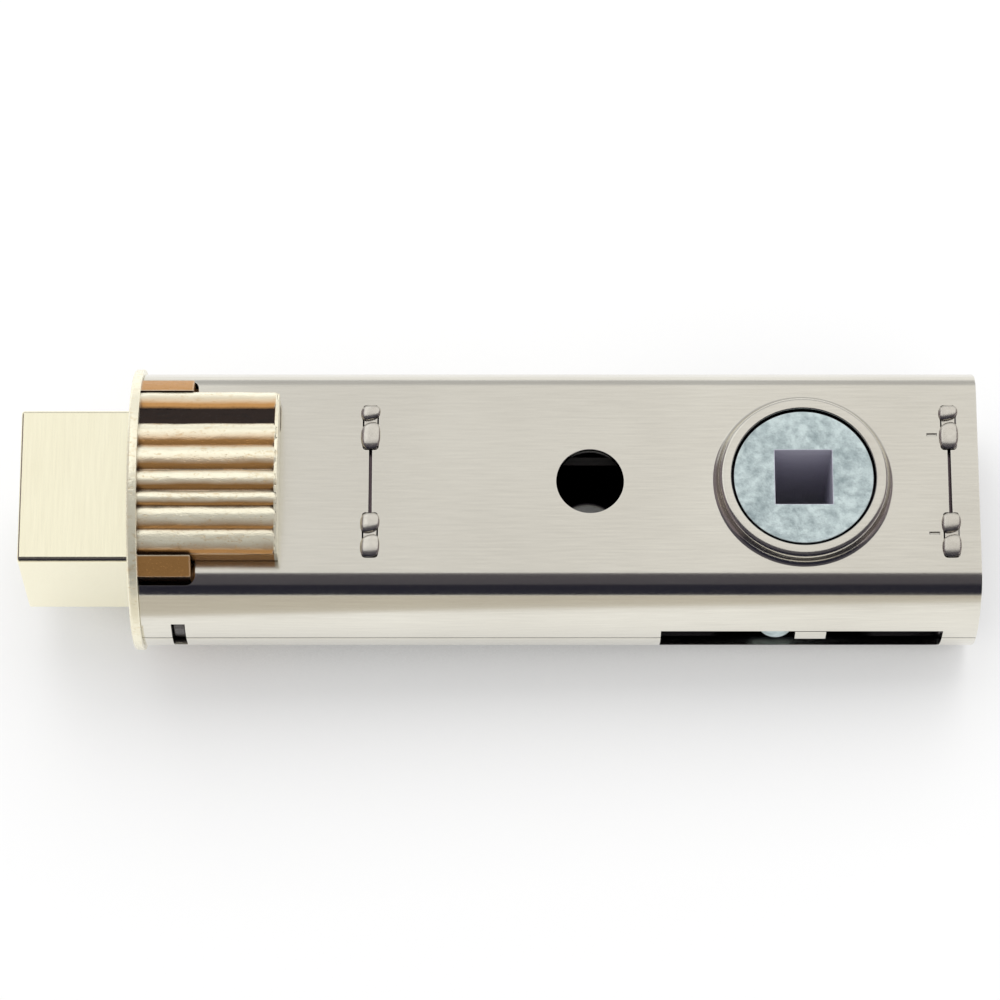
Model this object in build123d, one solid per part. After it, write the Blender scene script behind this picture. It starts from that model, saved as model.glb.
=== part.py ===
from build123d import *
import os
from math import asin, cos, degrees, radians, sin, sqrt

# Tubular dead bolt latch with a knurled drive-in collar, shown with its bolt thrown.
# Millimetres. X runs along the case from the collar's flange (X = 0) to the tail, so the bolt
# points to -X. Z is the spindle axis, square to the case's two flats, and Y completes the frame.

# Case: two half shells that meet in the plane Z = 0
backset = 60.0                # flange face to spindle axis
case_behind_spindle = 15.7    # spindle axis to the rear edge of the case
case_diameter = 24.5
across_flats = 15.0
sheet = 0.8
bend_radius = 2.4             # outside radius where a flat turns into the round side
fixing_hole_diameter = 6.0
fixing_hole_to_spindle = 19.0
seam_slot_length = 25.2       # slot in each seam beside the spindle
seam_slot_front = 1.55        # edge of the slot in the front half, from the seam
seam_slot_back = 4.4          # edge of the slot in the back half
notch_corner_radius = 0.8
stop_tab_length = 2.8
stop_tab_offset = -0.6        # near end of the stop tab, measured from the spindle axis
stop_tab_reach = 0.35         # how far the tab passes beyond the seam

# Spindle hub and the rims that carry it
rim_bore_diameter = 12.9
rim_wall = 1.15
rim_height = 1.3              # above the flat
rim_edge_radius = 0.5
rim_root_radius = 0.7
rim_lip_radius = 0.12         # inner edge of the rim
journal_clearance = 0.08
hub_recess = 0.2              # hub face below the rim's edge
hub_face_step = 0.15          # face smaller than the journal, on the radius
hub_step_depth = 0.9
hub_edge_radius = 0.06
hub_shoulder = 0.9            # shoulder behind the rim bore, beyond the journal
hub_end_play = 0.2
spindle_square = 5.1
hub_core_wall = 0.65          # over the corners of the square
hub_turn_angle = 90.0
arm_tip_radius = 1.6
arm_width = 1.6
heel_width = 3.5
heel_thickness = 2.0
heel_to_stop = 0.3
heel_below_skin = 0.15

# Drive-in collar, one die casting
flange_thickness = 0.9
flange_lip = 0.45             # beyond the case
flange_edge_radius = 0.3
collar_stand_out = 0.25       # knurl crests beyond the case
collar_length = 13.3
block_length = 5.6
block_width = 18.6
block_groove = 0.25           # between the block and a lobe
lobe_width = 15.4
lobe_end_radius = 0.6
ridge_count = 7
ridge_height = 0.55
tongue_length = 12.0
nib_start = 3.6
nib_length = 1.2
nib_width = 5.6
nib_below_skin = 0.5

# Bolt and tail
bolt_projection = 10.0
bolt_height = 14.4
bolt_edge_radius = 0.45
bolt_nose_radius = 0.25
retracted_depth = 0.3         # nose behind the flange face when withdrawn
bolt_clearance = 0.2
tail_thickness = 2.0
tongue_half_height = 4.0
tongue_seat_depth = 9.0
rivet_diameter = 2.5
rivet_spacing = 4.5
rivet_from_rear = 2.3
rivet_clearance = 0.02
yoke_wall = 2.0
yoke_bridge = 1.2
slot_play = 0.32              # takes up the arm's departure from even motion
notch_depth = 0.6

# Bulkhead plates, staked through the flats
guide_plate_position = 21.4   # flange face to mid plane
rear_plate_inset = 2.6        # case end to mid plane
plate_thickness = 1.2
stake_width = 4.0
stake_spacing = 10.2
stake_proud = 0.2
chisel_gap = 0.45
chisel_depth = 0.3
chisel_lean = 14.0
chisel_offsets = {1: 0.65, -1: 0.15}  # cut from the stake's middle, for the +Y and the -Y row
shear_slit = 0.25

# Detent leaf
leaf_thickness = 0.4
leaf_width = 4.0
leaf_over_bar = 1.4           # middle of the leaf above the bar
leaf_to_case = 0.8            # leaf to the inside of the case
leaf_bump_radius = 0.5
leaf_bump_half_length = 2.2
leaf_tail = 4.0               # beyond the bump
leaf_hook = 0.9

# Clearances
fit_gap = 0.1                 # pieces of the case that locate one another
stake_gap = 0.1               # stake to its slot, on each side
notch_end_gap = 0.3           # collar's block to the end of the case's notch
slide_gap = 0.15              # end stops
free_gap = 0.4                # moving pieces that pass each other

# Worked out from the sizes above
case_radius = case_diameter / 2
flat_height = across_flats / 2
case_end = backset + case_behind_spindle
cavity_radius = case_radius - sheet
cavity_half = flat_height - sheet
fixing_hole_position = backset - fixing_hole_to_spindle
flange_radius = case_radius + flange_lip
collar_radius = case_radius + collar_stand_out
bolt_thickness = 2 * (cavity_half - bolt_clearance)
travel = bolt_projection + retracted_depth
guide_front = guide_plate_position - plate_thickness / 2
guide_back = guide_plate_position + plate_thickness / 2
bolt_rear = guide_front - slide_gap - travel
rear_plate_position = case_end - rear_plate_inset
stake_slot_width = plate_thickness + 2 * stake_gap
stake_slot_height = stake_width + 2 * stake_gap
rim_radius = rim_bore_diameter / 2 + rim_wall
journal_radius = rim_bore_diameter / 2 - journal_clearance
hub_half_length = flat_height + rim_height - hub_recess
shoulder_half_length = cavity_half - hub_end_play
shoulder_radius = journal_radius + hub_shoulder
core_radius = spindle_square / sqrt(2) + hub_core_wall
web_half = tail_thickness / 2 + free_gap
arm_start_angle = 90 + hub_turn_angle / 2
arm_radius = travel / (2 * sin(radians(hub_turn_angle / 2)))
heel_tip_radius = case_radius - heel_below_skin
heel_lean = degrees(asin((heel_width / 2 + heel_to_stop - stop_tab_offset) / heel_tip_radius))
bar_low = core_radius + free_gap
leaf_height = sqrt(cavity_radius ** 2 - (leaf_width / 2) ** 2) - leaf_to_case - leaf_thickness / 2
bar_top = leaf_height - leaf_over_bar
yoke_center = backset + arm_radius * cos(radians(arm_start_angle))
yoke_slot_half = arm_tip_radius + slot_play
yoke_slot_top = arm_radius + arm_tip_radius + free_gap
web_start = guide_back + slide_gap
web_end = fixing_hole_position - fixing_hole_diameter / 2 - free_gap - travel
detent_position = fixing_hole_position
reach = 4 * case_diameter     # longer than any cut needs


def span_box(x_range, y_range, z_range):
    """Box between two limits on each axis."""
    sizes = [high - low for low, high in (x_range, y_range, z_range)]
    center = [(high + low) / 2 for low, high in (x_range, y_range, z_range)]
    return Pos(*center) * Box(*sizes)


def prism(section, start, end):
    """Section drawn in Y and Z, run along X from start to end."""
    plane = Plane(origin=(start, 0, 0), x_dir=(0, 1, 0), z_dir=(1, 0, 0))
    return extrude(plane * section, end - start)


def case_section(inset):
    """The case's outline, drawn inside its outer skin by the inset: a circle with two flats."""
    outline = Circle(case_radius - inset) & Rectangle(case_diameter, across_flats - 2 * inset)
    corners = [corner for corner in outline.vertices() if abs(corner.Y) > fit_gap]
    return fillet(corners, max(bend_radius, sheet) - inset)


def case_wall(start, end):
    """Full wall of the case between two places along X."""
    return prism(case_section(0), start, end) - prism(case_section(sheet), start, end)


def half_shell(side):
    """One half of the case, on the +Z side for 1 and on the -Z side for -1."""
    depth = (0, reach) if side > 0 else (-reach, 0)
    shell = case_wall(flange_thickness, case_end) & span_box((0, reach), (-reach, reach), depth)

    upright = (Align.CENTER, Align.CENTER, Align.MIN)
    rim = Cylinder(rim_radius, flat_height + rim_height, align=upright)
    rim = fillet(rim.edges().group_by(Axis.Z)[-1], rim_edge_radius)
    rim -= Cylinder(rim_radius + sheet, 2 * (flat_height - sheet))
    if side < 0:
        rim = Rot(180, 0, 0) * rim
    shell += Pos(backset, 0, 0) * rim
    root = [edge for edge in shell.edges().filter_by(GeomType.CIRCLE)
            if abs(edge.radius - rim_radius) < fit_gap
            and abs(abs(edge.center().Z) - flat_height) < fit_gap]
    shell = fillet(root, rim_root_radius)
    shell -= Pos(backset, 0, 0) * Cylinder(rim_bore_diameter / 2, reach)
    lip = [edge for edge in shell.edges().filter_by(GeomType.CIRCLE)
           if abs(edge.radius - rim_bore_diameter / 2) < fit_gap and abs(edge.center().Z) > flat_height]
    shell = fillet(lip, rim_lip_radius)

    notch_half = block_width / 2 + free_gap
    notch = span_box((-reach, block_length + notch_end_gap), (-notch_half, notch_half), (-reach, reach))
    shell -= fillet(notch.edges().filter_by(Axis.Z).group_by(Axis.X)[-1], notch_corner_radius)
    shell -= Pos(fixing_hole_position, 0, 0) * Cylinder(fixing_hole_diameter / 2, reach)
    slot_span = (backset - seam_slot_length / 2, backset + seam_slot_length / 2)
    shell -= span_box(slot_span, (-reach, reach), (-seam_slot_back, seam_slot_front))
    shell -= span_box((nib_start, nib_start + nib_length), (-reach, reach), (-nib_width / 2, nib_width / 2))
    for place in (guide_plate_position, rear_plate_position):
        shell -= Pos(place, 0, 0) * Box(shear_slit, stake_spacing, reach)
        for row in (-1, 1):
            shell -= Pos(place, row * stake_spacing / 2, 0) * Box(stake_slot_width, stake_slot_height, reach)
    return shell


def front_shell():
    """Half shell with the tab that stops the hub's heel, left standing in the lower seam slot."""
    tab_start = backset + stop_tab_offset
    tab = case_wall(tab_start, tab_start + stop_tab_length)
    tab &= span_box((0, reach), (-reach, 0), (-stop_tab_reach, seam_slot_front + sheet))
    return half_shell(1) + tab


def knurled_section():
    """Outer lobe of the collar over one flat, in Y and Z: a scalloped top on a straight-sided foot."""
    valley_radius = collar_radius - ridge_height
    half_angle = degrees(asin(lobe_width / 2 / valley_radius))
    pitch = 2 * half_angle / ridge_count

    def on_circle(radius, angle):
        return (radius * sin(radians(angle)), radius * cos(radians(angle)))

    crests = []
    for index in range(ridge_count):
        start = -half_angle + index * pitch
        crest = on_circle(collar_radius, start + pitch / 2)
        valleys = on_circle(valley_radius, start), on_circle(valley_radius, start + pitch)
        crests.append(ThreePointArc(valleys[0], crest, valleys[1]))
    left = on_circle(valley_radius, -half_angle)
    right = on_circle(valley_radius, half_angle)
    foot = flat_height + fit_gap
    sides = Polyline(right, (right[0], foot), (left[0], foot), left)
    return make_face(crests + sides.edges())


def front_collar():
    """Flange, block that fills the case's notch, knurled lobes and the tongues inside the case."""
    flange = prism(Circle(flange_radius), 0, flange_thickness)
    collar = fillet(flange.edges().group_by(Axis.X)[0], flange_edge_radius)

    envelope = prism(Circle(collar_radius), 0, collar_length)
    envelope = fillet(envelope.edges().group_by(Axis.X)[-1], lobe_end_radius)
    lobe = envelope & prism(knurled_section(), 0, collar_length)
    collar += lobe + Rot(180, 0, 0) * lobe
    block = prism(Circle(collar_radius), 0, block_length)
    collar += block & Box(reach, block_width, reach) - Box(reach, lobe_width + 2 * block_groove, reach)
    collar += prism(Circle(cavity_radius - fit_gap), 0, block_length)

    tongue = prism(case_section(sheet + fit_gap), 0, tongue_length)
    collar += tongue
    nib = prism(Circle(case_radius - nib_below_skin), nib_start + fit_gap, nib_start + nib_length - fit_gap)
    collar += nib & Box(reach, reach, nib_width - 2 * fit_gap)
    return collar - Box(reach, bolt_height + 2 * bolt_clearance, 2 * cavity_half)


def rivet_places():
    """Places along X of the two rivets that join the tail to the bolt."""
    return [bolt_rear - rivet_from_rear, bolt_rear - rivet_from_rear - rivet_spacing]


def bolt_head():
    """Square-ended bolt with a slot at the back for the tail."""
    head = span_box((-bolt_projection, bolt_rear), (-bolt_height / 2, bolt_height / 2),
                    (-bolt_thickness / 2, bolt_thickness / 2))
    head = fillet(head.edges().filter_by(Axis.X), bolt_edge_radius)
    head = fillet(head.faces().sort_by(Axis.X)[0].edges(), bolt_nose_radius)
    seat = tongue_half_height + fit_gap
    head -= span_box((bolt_rear - tongue_seat_depth, reach), (-seat, seat),
                     (-(tail_thickness + fit_gap) / 2, (tail_thickness + fit_gap) / 2))
    for place in rivet_places():
        head -= Pos(place, 0, 0) * Cylinder(rivet_diameter / 2, reach)
    return head


def tail_bar():
    """Cranked steel strip: tongue in the bolt, bar over the fixing hole and yoke round the hub's arm."""
    thick = (-tail_thickness / 2, tail_thickness / 2)
    yoke_half = yoke_slot_half + yoke_wall
    tongue_start = bolt_rear - tongue_seat_depth + fit_gap
    bar = span_box((tongue_start, web_end), (-tongue_half_height, tongue_half_height), thick)
    bar += span_box((web_start, web_end), (-tongue_half_height - free_gap, bar_top), thick)
    bar += span_box((web_start, yoke_center + yoke_half), (bar_low, bar_top), thick)
    yoke_span = (yoke_center - yoke_half, yoke_center + yoke_half)
    yoke = span_box(yoke_span, (bar_low, yoke_slot_top + yoke_bridge), thick)
    bar += fillet(yoke.edges().filter_by(Axis.Z).group_by(Axis.Y)[-1], yoke_bridge / 2)
    slot_span = (yoke_center - yoke_slot_half, yoke_center + yoke_slot_half)
    bar -= span_box(slot_span, (0, yoke_slot_top), thick)
    notch_side = notch_depth * sqrt(2)
    for place in (detent_position, detent_position - travel):
        bar -= Pos(place, bar_top, 0) * Rot(0, 0, 45) * Box(notch_side, notch_side, reach)
    for place in rivet_places():
        bar -= Pos(place, 0, 0) * Cylinder(rivet_diameter / 2, reach)
    return bar


def tail_rivets():
    """Two flush rivets through the bolt and the tail."""
    radius = rivet_diameter / 2 - rivet_clearance
    return Compound([Pos(place, 0, 0) * Cylinder(radius, bolt_thickness) for place in rivet_places()])


def bulkhead(place):
    """Plate across the case with four tabs, each split by a chisel where it is staked over the flat."""
    plate = prism(case_section(sheet + fit_gap), place - plate_thickness / 2, place + plate_thickness / 2)
    for row in (-1, 1):
        middle = row * stake_spacing / 2
        plate += Pos(place, middle, 0) * Box(plate_thickness, stake_width, 2 * (flat_height + stake_proud))
        for side in (-1, 1):
            top = side * (flat_height + stake_proud)
            chisel = Pos(place, middle + chisel_offsets[row], top) * Rot(0, 0, chisel_lean)
            tab = Pos(place, middle, top) * Box(plate_thickness, stake_width, 2 * chisel_depth)
            plate -= chisel * Box(reach, chisel_gap, 2 * chisel_depth) & tab
    return plate


def front_guide_plate():
    """Bulkhead with the slot that guides the tail and the slit that holds the detent leaf."""
    tail_room = tail_thickness / 2 + slide_gap
    plate = bulkhead(guide_plate_position)
    tongue_room = tongue_half_height + bolt_clearance
    plate -= span_box((0, reach), (-tongue_room, tongue_room), (-tail_room, tail_room))
    slit_half = leaf_thickness / 2 + fit_gap
    leaf_room = leaf_width / 2 + fit_gap
    slit_span = (leaf_height - slit_half, leaf_height + slit_half)
    return plate - span_box((0, reach), slit_span, (-leaf_room, leaf_room))


def detent_spring():
    """Leaf hooked in the guide plate, with a bump that drops into the notches of the tail."""
    hook = guide_front - fit_gap - leaf_thickness / 2
    bump_low = bar_top - notch_depth + leaf_thickness + fit_gap
    path = FilletPolyline(
        (hook, leaf_height - leaf_hook),
        (hook, leaf_height),
        (detent_position - leaf_bump_half_length, leaf_height),
        (detent_position, bump_low),
        (detent_position + leaf_bump_half_length, leaf_height),
        (detent_position + leaf_bump_half_length + leaf_tail, leaf_height),
        radius=leaf_bump_radius,
    )
    strip = make_face(offset(path, leaf_thickness / 2, side=Side.BOTH))
    return extrude(strip, leaf_width / 2, both=True)


def hub():
    """Cast hub: journals, shoulders, a drive arm for the tail's yoke and a heel that meets the stop tab."""
    face = Cylinder(journal_radius - hub_face_step, 2 * hub_half_length)
    body = fillet(face.edges().filter_by(GeomType.CIRCLE), hub_edge_radius)
    body += Cylinder(journal_radius, 2 * (hub_half_length - hub_step_depth))
    body += Cylinder(shoulder_radius, 2 * shoulder_half_length)
    waist = Cylinder(reach, 2 * web_half) - Cylinder(core_radius, 2 * web_half)
    body -= waist

    arm = Pos(arm_radius / 2, 0, 0) * Box(arm_radius, arm_width, 2 * web_half)
    arm += Pos(arm_radius, 0, 0) * Cylinder(arm_tip_radius, 2 * web_half)
    body += Rot(0, 0, arm_start_angle) * arm
    heel_length = heel_tip_radius - heel_width / 2
    heel = Pos(heel_length / 2, 0, 0) * Box(heel_length, heel_width, heel_thickness)
    heel += Pos(heel_length, 0, 0) * Cylinder(heel_width / 2, heel_thickness)
    body += Rot(0, 0, -90 - heel_lean) * heel
    body -= Box(spindle_square, spindle_square, reach)
    return Pos(backset, 0, 0) * body


PIECES = {
    "front_shell": front_shell,
    "back_shell": lambda: half_shell(-1),
    "front_collar": front_collar,
    "bolt_head": bolt_head,
    "tail_bar": tail_bar,
    "tail_rivets": tail_rivets,
    "front_guide_plate": front_guide_plate,
    "rear_end_plate": lambda: bulkhead(rear_plate_position),
    "detent_spring": detent_spring,
    "hub": hub,
}

os.makedirs("parts", exist_ok=True)
for name, make_piece in PIECES.items():
    export_step(make_piece(), f"parts/{name}.step")
print("bolt travel to hub turn, radians per metre:", round(-radians(hub_turn_angle) / travel * 1000, 6))
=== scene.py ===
import logging
import math
from dataclasses import dataclass
from enum import Enum
from typing import Any, Callable

import bmesh
import bpy
from mathutils import Matrix, Vector


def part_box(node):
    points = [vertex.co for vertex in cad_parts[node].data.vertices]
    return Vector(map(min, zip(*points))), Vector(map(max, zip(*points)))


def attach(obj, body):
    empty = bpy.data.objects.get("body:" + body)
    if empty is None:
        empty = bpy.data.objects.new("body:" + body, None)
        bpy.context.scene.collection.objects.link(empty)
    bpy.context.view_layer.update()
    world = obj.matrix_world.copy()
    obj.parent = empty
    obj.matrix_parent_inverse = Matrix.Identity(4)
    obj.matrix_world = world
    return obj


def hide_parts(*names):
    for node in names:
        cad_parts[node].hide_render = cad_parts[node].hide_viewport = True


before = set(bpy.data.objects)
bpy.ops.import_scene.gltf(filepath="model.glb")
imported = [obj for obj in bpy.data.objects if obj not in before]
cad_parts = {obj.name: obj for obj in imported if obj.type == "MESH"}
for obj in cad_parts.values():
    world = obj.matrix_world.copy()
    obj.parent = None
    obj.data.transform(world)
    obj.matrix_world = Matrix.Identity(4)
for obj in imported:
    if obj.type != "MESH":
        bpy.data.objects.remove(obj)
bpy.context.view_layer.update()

# Shapes are drawn in millimetres, in the frame's own axes, and scaled to metres when they are finished.
# X runs along the case from the flange to the tail, Z is the spindle axis, and the bolt points to -X.
MM = 0.001
SPINDLE = 60.0
REACH = 100.0
WELD = 0.0005
LEVEL_ANGLE = math.radians(0.2)
SHARP_ANGLE = math.radians(25)
log = logging.getLogger("tubular_latch")

Shape = bmesh.types.BMesh
Outline = list[tuple[float, float]]
Colour = tuple[float, float, float]
Socket = bpy.types.NodeSocket
Sockets = bpy.types.NodeOutputs


class Body(Enum):
    """Bodies of the frame that the pieces ride on."""

    CASE = "case"
    BOLT = "bolt"
    HUB = "hub"


class Side(Enum):
    """The two flats of the case."""

    FRONT = 1
    BACK = -1


class Axis(Enum):
    """Lines that a profile is turned round."""

    CASE = "X"
    SPINDLE = "Z"


class Joining(Enum):
    """Ways to combine a piece with a tool, by Blender's names for them."""

    CUT = "DIFFERENCE"
    JOIN = "UNION"
    KEEP = "INTERSECT"


def linear(red: int, green: int, blue: int) -> Colour:
    """Turns a colour of 0 to 255 as a screen shows it into the linear one that shaders take.

    Args:
        red: Red as displayed.
        green: Green as displayed.
        blue: Blue as displayed.

    Returns:
        The linear colour.
    """
    shares = [value / 255 for value in (red, green, blue)]
    return tuple(s / 12.92 if s <= 0.04045 else ((s + 0.055) / 1.055) ** 2.4 for s in shares)


def box_mm(node: str) -> tuple[Vector, Vector]:
    """Gives a node's lowest and highest corner in millimetres.

    Args:
        node: Name of the node in the frame.

    Returns:
        The two corners.
    """
    low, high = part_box(node)
    return low / MM, high / MM


def arc(center: tuple[float, float], radius: float, start: float, end: float, steps: int) -> Outline:
    """Gives points on an arc, with both ends.

    Args:
        center: Centre of the arc.
        radius: Its radius.
        start: Angle of the first point, in degrees from the first axis.
        end: Angle of the last point.
        steps: Number of chords.

    Returns:
        The points in order.
    """
    angles = [math.radians(start + (end - start) * step / steps) for step in range(steps + 1)]
    return [(center[0] + radius * math.cos(a), center[1] + radius * math.sin(a)) for a in angles]


def circle(radius: float) -> Outline:
    """Gives points round a whole circle about the case's axis."""
    return arc((0, 0), radius, 0, 360, 160)[:-1]


def prism(outline: Outline, start: float, end: float) -> Shape:
    """Runs an outline in Y and Z along X.

    Args:
        outline: Corner points in order.
        start: Lower end along X.
        end: Upper end along X.

    Returns:
        The closed shape.
    """
    shape = bmesh.new()
    near, far = ([shape.verts.new((x, y, z)) for y, z in outline] for x in (start, end))
    shape.faces.new(near)
    shape.faces.new(far)
    for index in range(len(outline)):
        after = (index + 1) % len(outline)
        shape.faces.new((near[index], near[after], far[after], far[index]))
    bmesh.ops.recalc_face_normals(shape, faces=shape.faces)
    return shape


def block(x: tuple[float, float], y: tuple[float, float], z: tuple[float, float]) -> Shape:
    """Makes a box between two limits on each axis.

    Args:
        x: Limits along X.
        y: Limits along Y.
        z: Limits along Z.

    Returns:
        The closed shape.
    """
    return prism([(y[0], z[0]), (y[1], z[0]), (y[1], z[1]), (y[0], z[1])], *x)


def turned(profile: Outline, axis: Axis, center: float = 0.0, steps: int = 192) -> Shape:
    """Turns a closed profile round the case's axis or the spindle's.

    Args:
        profile: Points as radius and place along the axis, clear of the axis itself.
        axis: The line that it is turned round.
        center: Place of the spindle's axis along X.
        steps: Number of facets round the axis.

    Returns:
        The closed shape.
    """
    shape = bmesh.new()
    rings = []
    for step in range(steps):
        angle = 2 * math.pi * step / steps
        c, s = math.cos(angle), math.sin(angle)
        if axis is Axis.CASE:
            rings.append([shape.verts.new((h, r * c, r * s)) for r, h in profile])
        else:
            rings.append([shape.verts.new((center + r * c, r * s, h)) for r, h in profile])
    for step in range(steps):
        here, there = rings[step], rings[(step + 1) % steps]
        for index in range(len(profile)):
            after = (index + 1) % len(profile)
            shape.faces.new((here[index], here[after], there[after], there[index]))
    bmesh.ops.recalc_face_normals(shape, faces=shape.faces)
    return shape


def rod(radius: float, low: float, high: float, x: float, y: float = 0.0, steps: int = 96) -> Shape:
    """Makes a round rod along Z.

    Args:
        radius: Radius of the rod.
        low: Lower end along Z.
        high: Upper end along Z.
        x: Place of its axis along X.
        y: Place of its axis along Y.
        steps: Number of facets.

    Returns:
        The closed shape.
    """
    shape = bmesh.new()
    place = Matrix.Translation((x, y, (low + high) / 2))
    bmesh.ops.create_cone(shape, cap_ends=True, segments=steps, radius1=radius, radius2=radius,
                          depth=high - low, matrix=place)
    return shape


def pillar(outline: Outline, low: float, high: float) -> Shape:
    """Runs an outline in X and Y along Z.

    Args:
        outline: Corner points in order.
        low: Lower end along Z.
        high: Upper end along Z.

    Returns:
        The closed shape.
    """
    shape = prism(outline, low, high)
    bmesh.ops.transform(shape, matrix=Matrix(((0, 1, 0, 0), (0, 0, 1, 0), (1, 0, 0, 0), (0, 0, 0, 1))),
                        verts=shape.verts)
    return shape


def rounded(x: tuple[float, float], y: tuple[float, float], radius: float, steps: int = 8) -> Outline:
    """Draws a rectangle with round corners.

    Args:
        x: Limits along the first axis.
        y: Limits along the second axis.
        radius: Radius of the corners.
        steps: Chords in each corner.

    Returns:
        The points in order.
    """
    corners = [(x[1] - radius, y[1] - radius, 0), (x[0] + radius, y[1] - radius, 90),
               (x[0] + radius, y[0] + radius, 180), (x[1] - radius, y[0] + radius, 270)]
    return [point for cx, cy, turn in corners for point in arc((cx, cy), radius, turn, turn + 90, steps)]


def sheet(corners: list[Any]) -> Shape:
    """Makes one flat face.

    Args:
        corners: Its corners in order.

    Returns:
        The open shape.
    """
    shape = bmesh.new()
    shape.faces.new([shape.verts.new(corner) for corner in corners])
    return shape


class Workpiece:
    """A mesh on the bench, which other shapes cut and join until it is finished."""

    def __init__(self, name: str, shape: Shape) -> None:
        """Puts a shape on the bench.

        Args:
            name: Name of the piece.
            shape: The shape to start from, which is used up.
        """
        mesh = bpy.data.meshes.new(name)
        shape.to_mesh(mesh)
        shape.free()
        self.part = bpy.data.objects.new(name, mesh)
        bpy.context.scene.collection.objects.link(self.part)

    def settle(self) -> None:
        """Turns the modifiers on the piece into plain mesh."""
        graph = bpy.context.evaluated_depsgraph_get()
        settled = bpy.data.meshes.new_from_object(self.part.evaluated_get(graph))
        self.part.modifiers.clear()
        before = self.part.data
        self.part.data = settled
        bpy.data.meshes.remove(before)

    def combine(self, joining: Joining, tools: tuple[Shape, ...], crossing: bool = False) -> "Workpiece":
        """Combines the piece with each tool in turn.

        Args:
            joining: How they are combined.
            tools: Shapes to combine with, which are used up.
            crossing: Whether parts of one tool run through each other.

        Returns:
            The piece itself.
        """
        for tool in tools:
            other = Workpiece("tool", tool).part
            step = self.part.modifiers.new("step", "BOOLEAN")
            step.operation = joining.value
            step.solver = "EXACT"
            step.use_self = crossing
            step.object = other
            self.settle()
            self.weld()
            mesh = other.data
            bpy.data.objects.remove(other)
            bpy.data.meshes.remove(mesh)
        return self

    def weld(self) -> None:
        """Merges the points that a step left on top of each other."""
        shape = bmesh.new()
        shape.from_mesh(self.part.data)
        bmesh.ops.remove_doubles(shape, verts=shape.verts, dist=WELD)
        bmesh.ops.dissolve_degenerate(shape, edges=shape.edges, dist=WELD)
        shape.to_mesh(self.part.data)
        shape.free()

    def cut(self, *tools: Shape) -> "Workpiece":
        """Takes the tools away from the piece."""
        return self.combine(Joining.CUT, tools)

    def join(self, *tools: Shape) -> "Workpiece":
        """Adds the tools to the piece."""
        return self.combine(Joining.JOIN, tools)

    def keep(self, *tools: Shape) -> "Workpiece":
        """Keeps only what lies inside the tools."""
        return self.combine(Joining.KEEP, tools)

    def level(self) -> "Workpiece":
        """Joins the faces that lie in one plane, so that they shade as one.

        Returns:
            The piece itself.
        """
        shape = bmesh.new()
        shape.from_mesh(self.part.data)
        bmesh.ops.dissolve_limit(shape, angle_limit=LEVEL_ANGLE, verts=shape.verts, edges=shape.edges)
        shape.to_mesh(self.part.data)
        shape.free()
        return self

    def soften(self, width: float, segments: int = 2, angle: float = 35.0) -> "Workpiece":
        """Rounds the edges that are sharper than an angle.

        Args:
            width: Width of the rounding.
            segments: Facets across it.
            angle: Least angle between the faces, in degrees.

        Returns:
            The piece itself.
        """
        bevel = self.part.modifiers.new("soften", "BEVEL")
        bevel.width = width
        bevel.segments = segments
        bevel.limit_method = "ANGLE"
        bevel.angle_limit = math.radians(angle)
        bevel.use_clamp_overlap = False
        bevel.loop_slide = False
        self.settle()
        return self

    def lift_off(self) -> Shape:
        """Takes the shape off the bench again, as a tool for another piece.

        Returns:
            The shape.
        """
        shape = bmesh.new()
        shape.from_mesh(self.part.data)
        mesh = self.part.data
        bpy.data.objects.remove(self.part)
        bpy.data.meshes.remove(mesh)
        return shape

    def finish(self, body: Body, finish: "Finish", nodes: tuple[str, ...]) -> bpy.types.Object:
        """Scales the piece to metres, shades and dresses it and sets it on its body.

        Args:
            body: The body that carries it.
            finish: Its surface finish.
            nodes: Nodes of the frame that it stands for.

        Returns:
            The finished piece.
        """
        mesh = self.part.data
        mesh.transform(Matrix.Scale(MM, 4))
        mesh.shade_smooth()
        mesh.set_sharp_from_angle(angle=SHARP_ANGLE)
        mesh.materials.clear()
        mesh.materials.append(finish.material())
        weighted = self.part.modifiers.new("even_shading", "WEIGHTED_NORMAL")
        weighted.keep_sharp = True
        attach(self.part, body.value)
        if nodes:
            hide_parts(*nodes)
        log.info("%s: %d faces, rides on %s", self.part.name, len(mesh.polygons), body.value)
        return self.part


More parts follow.
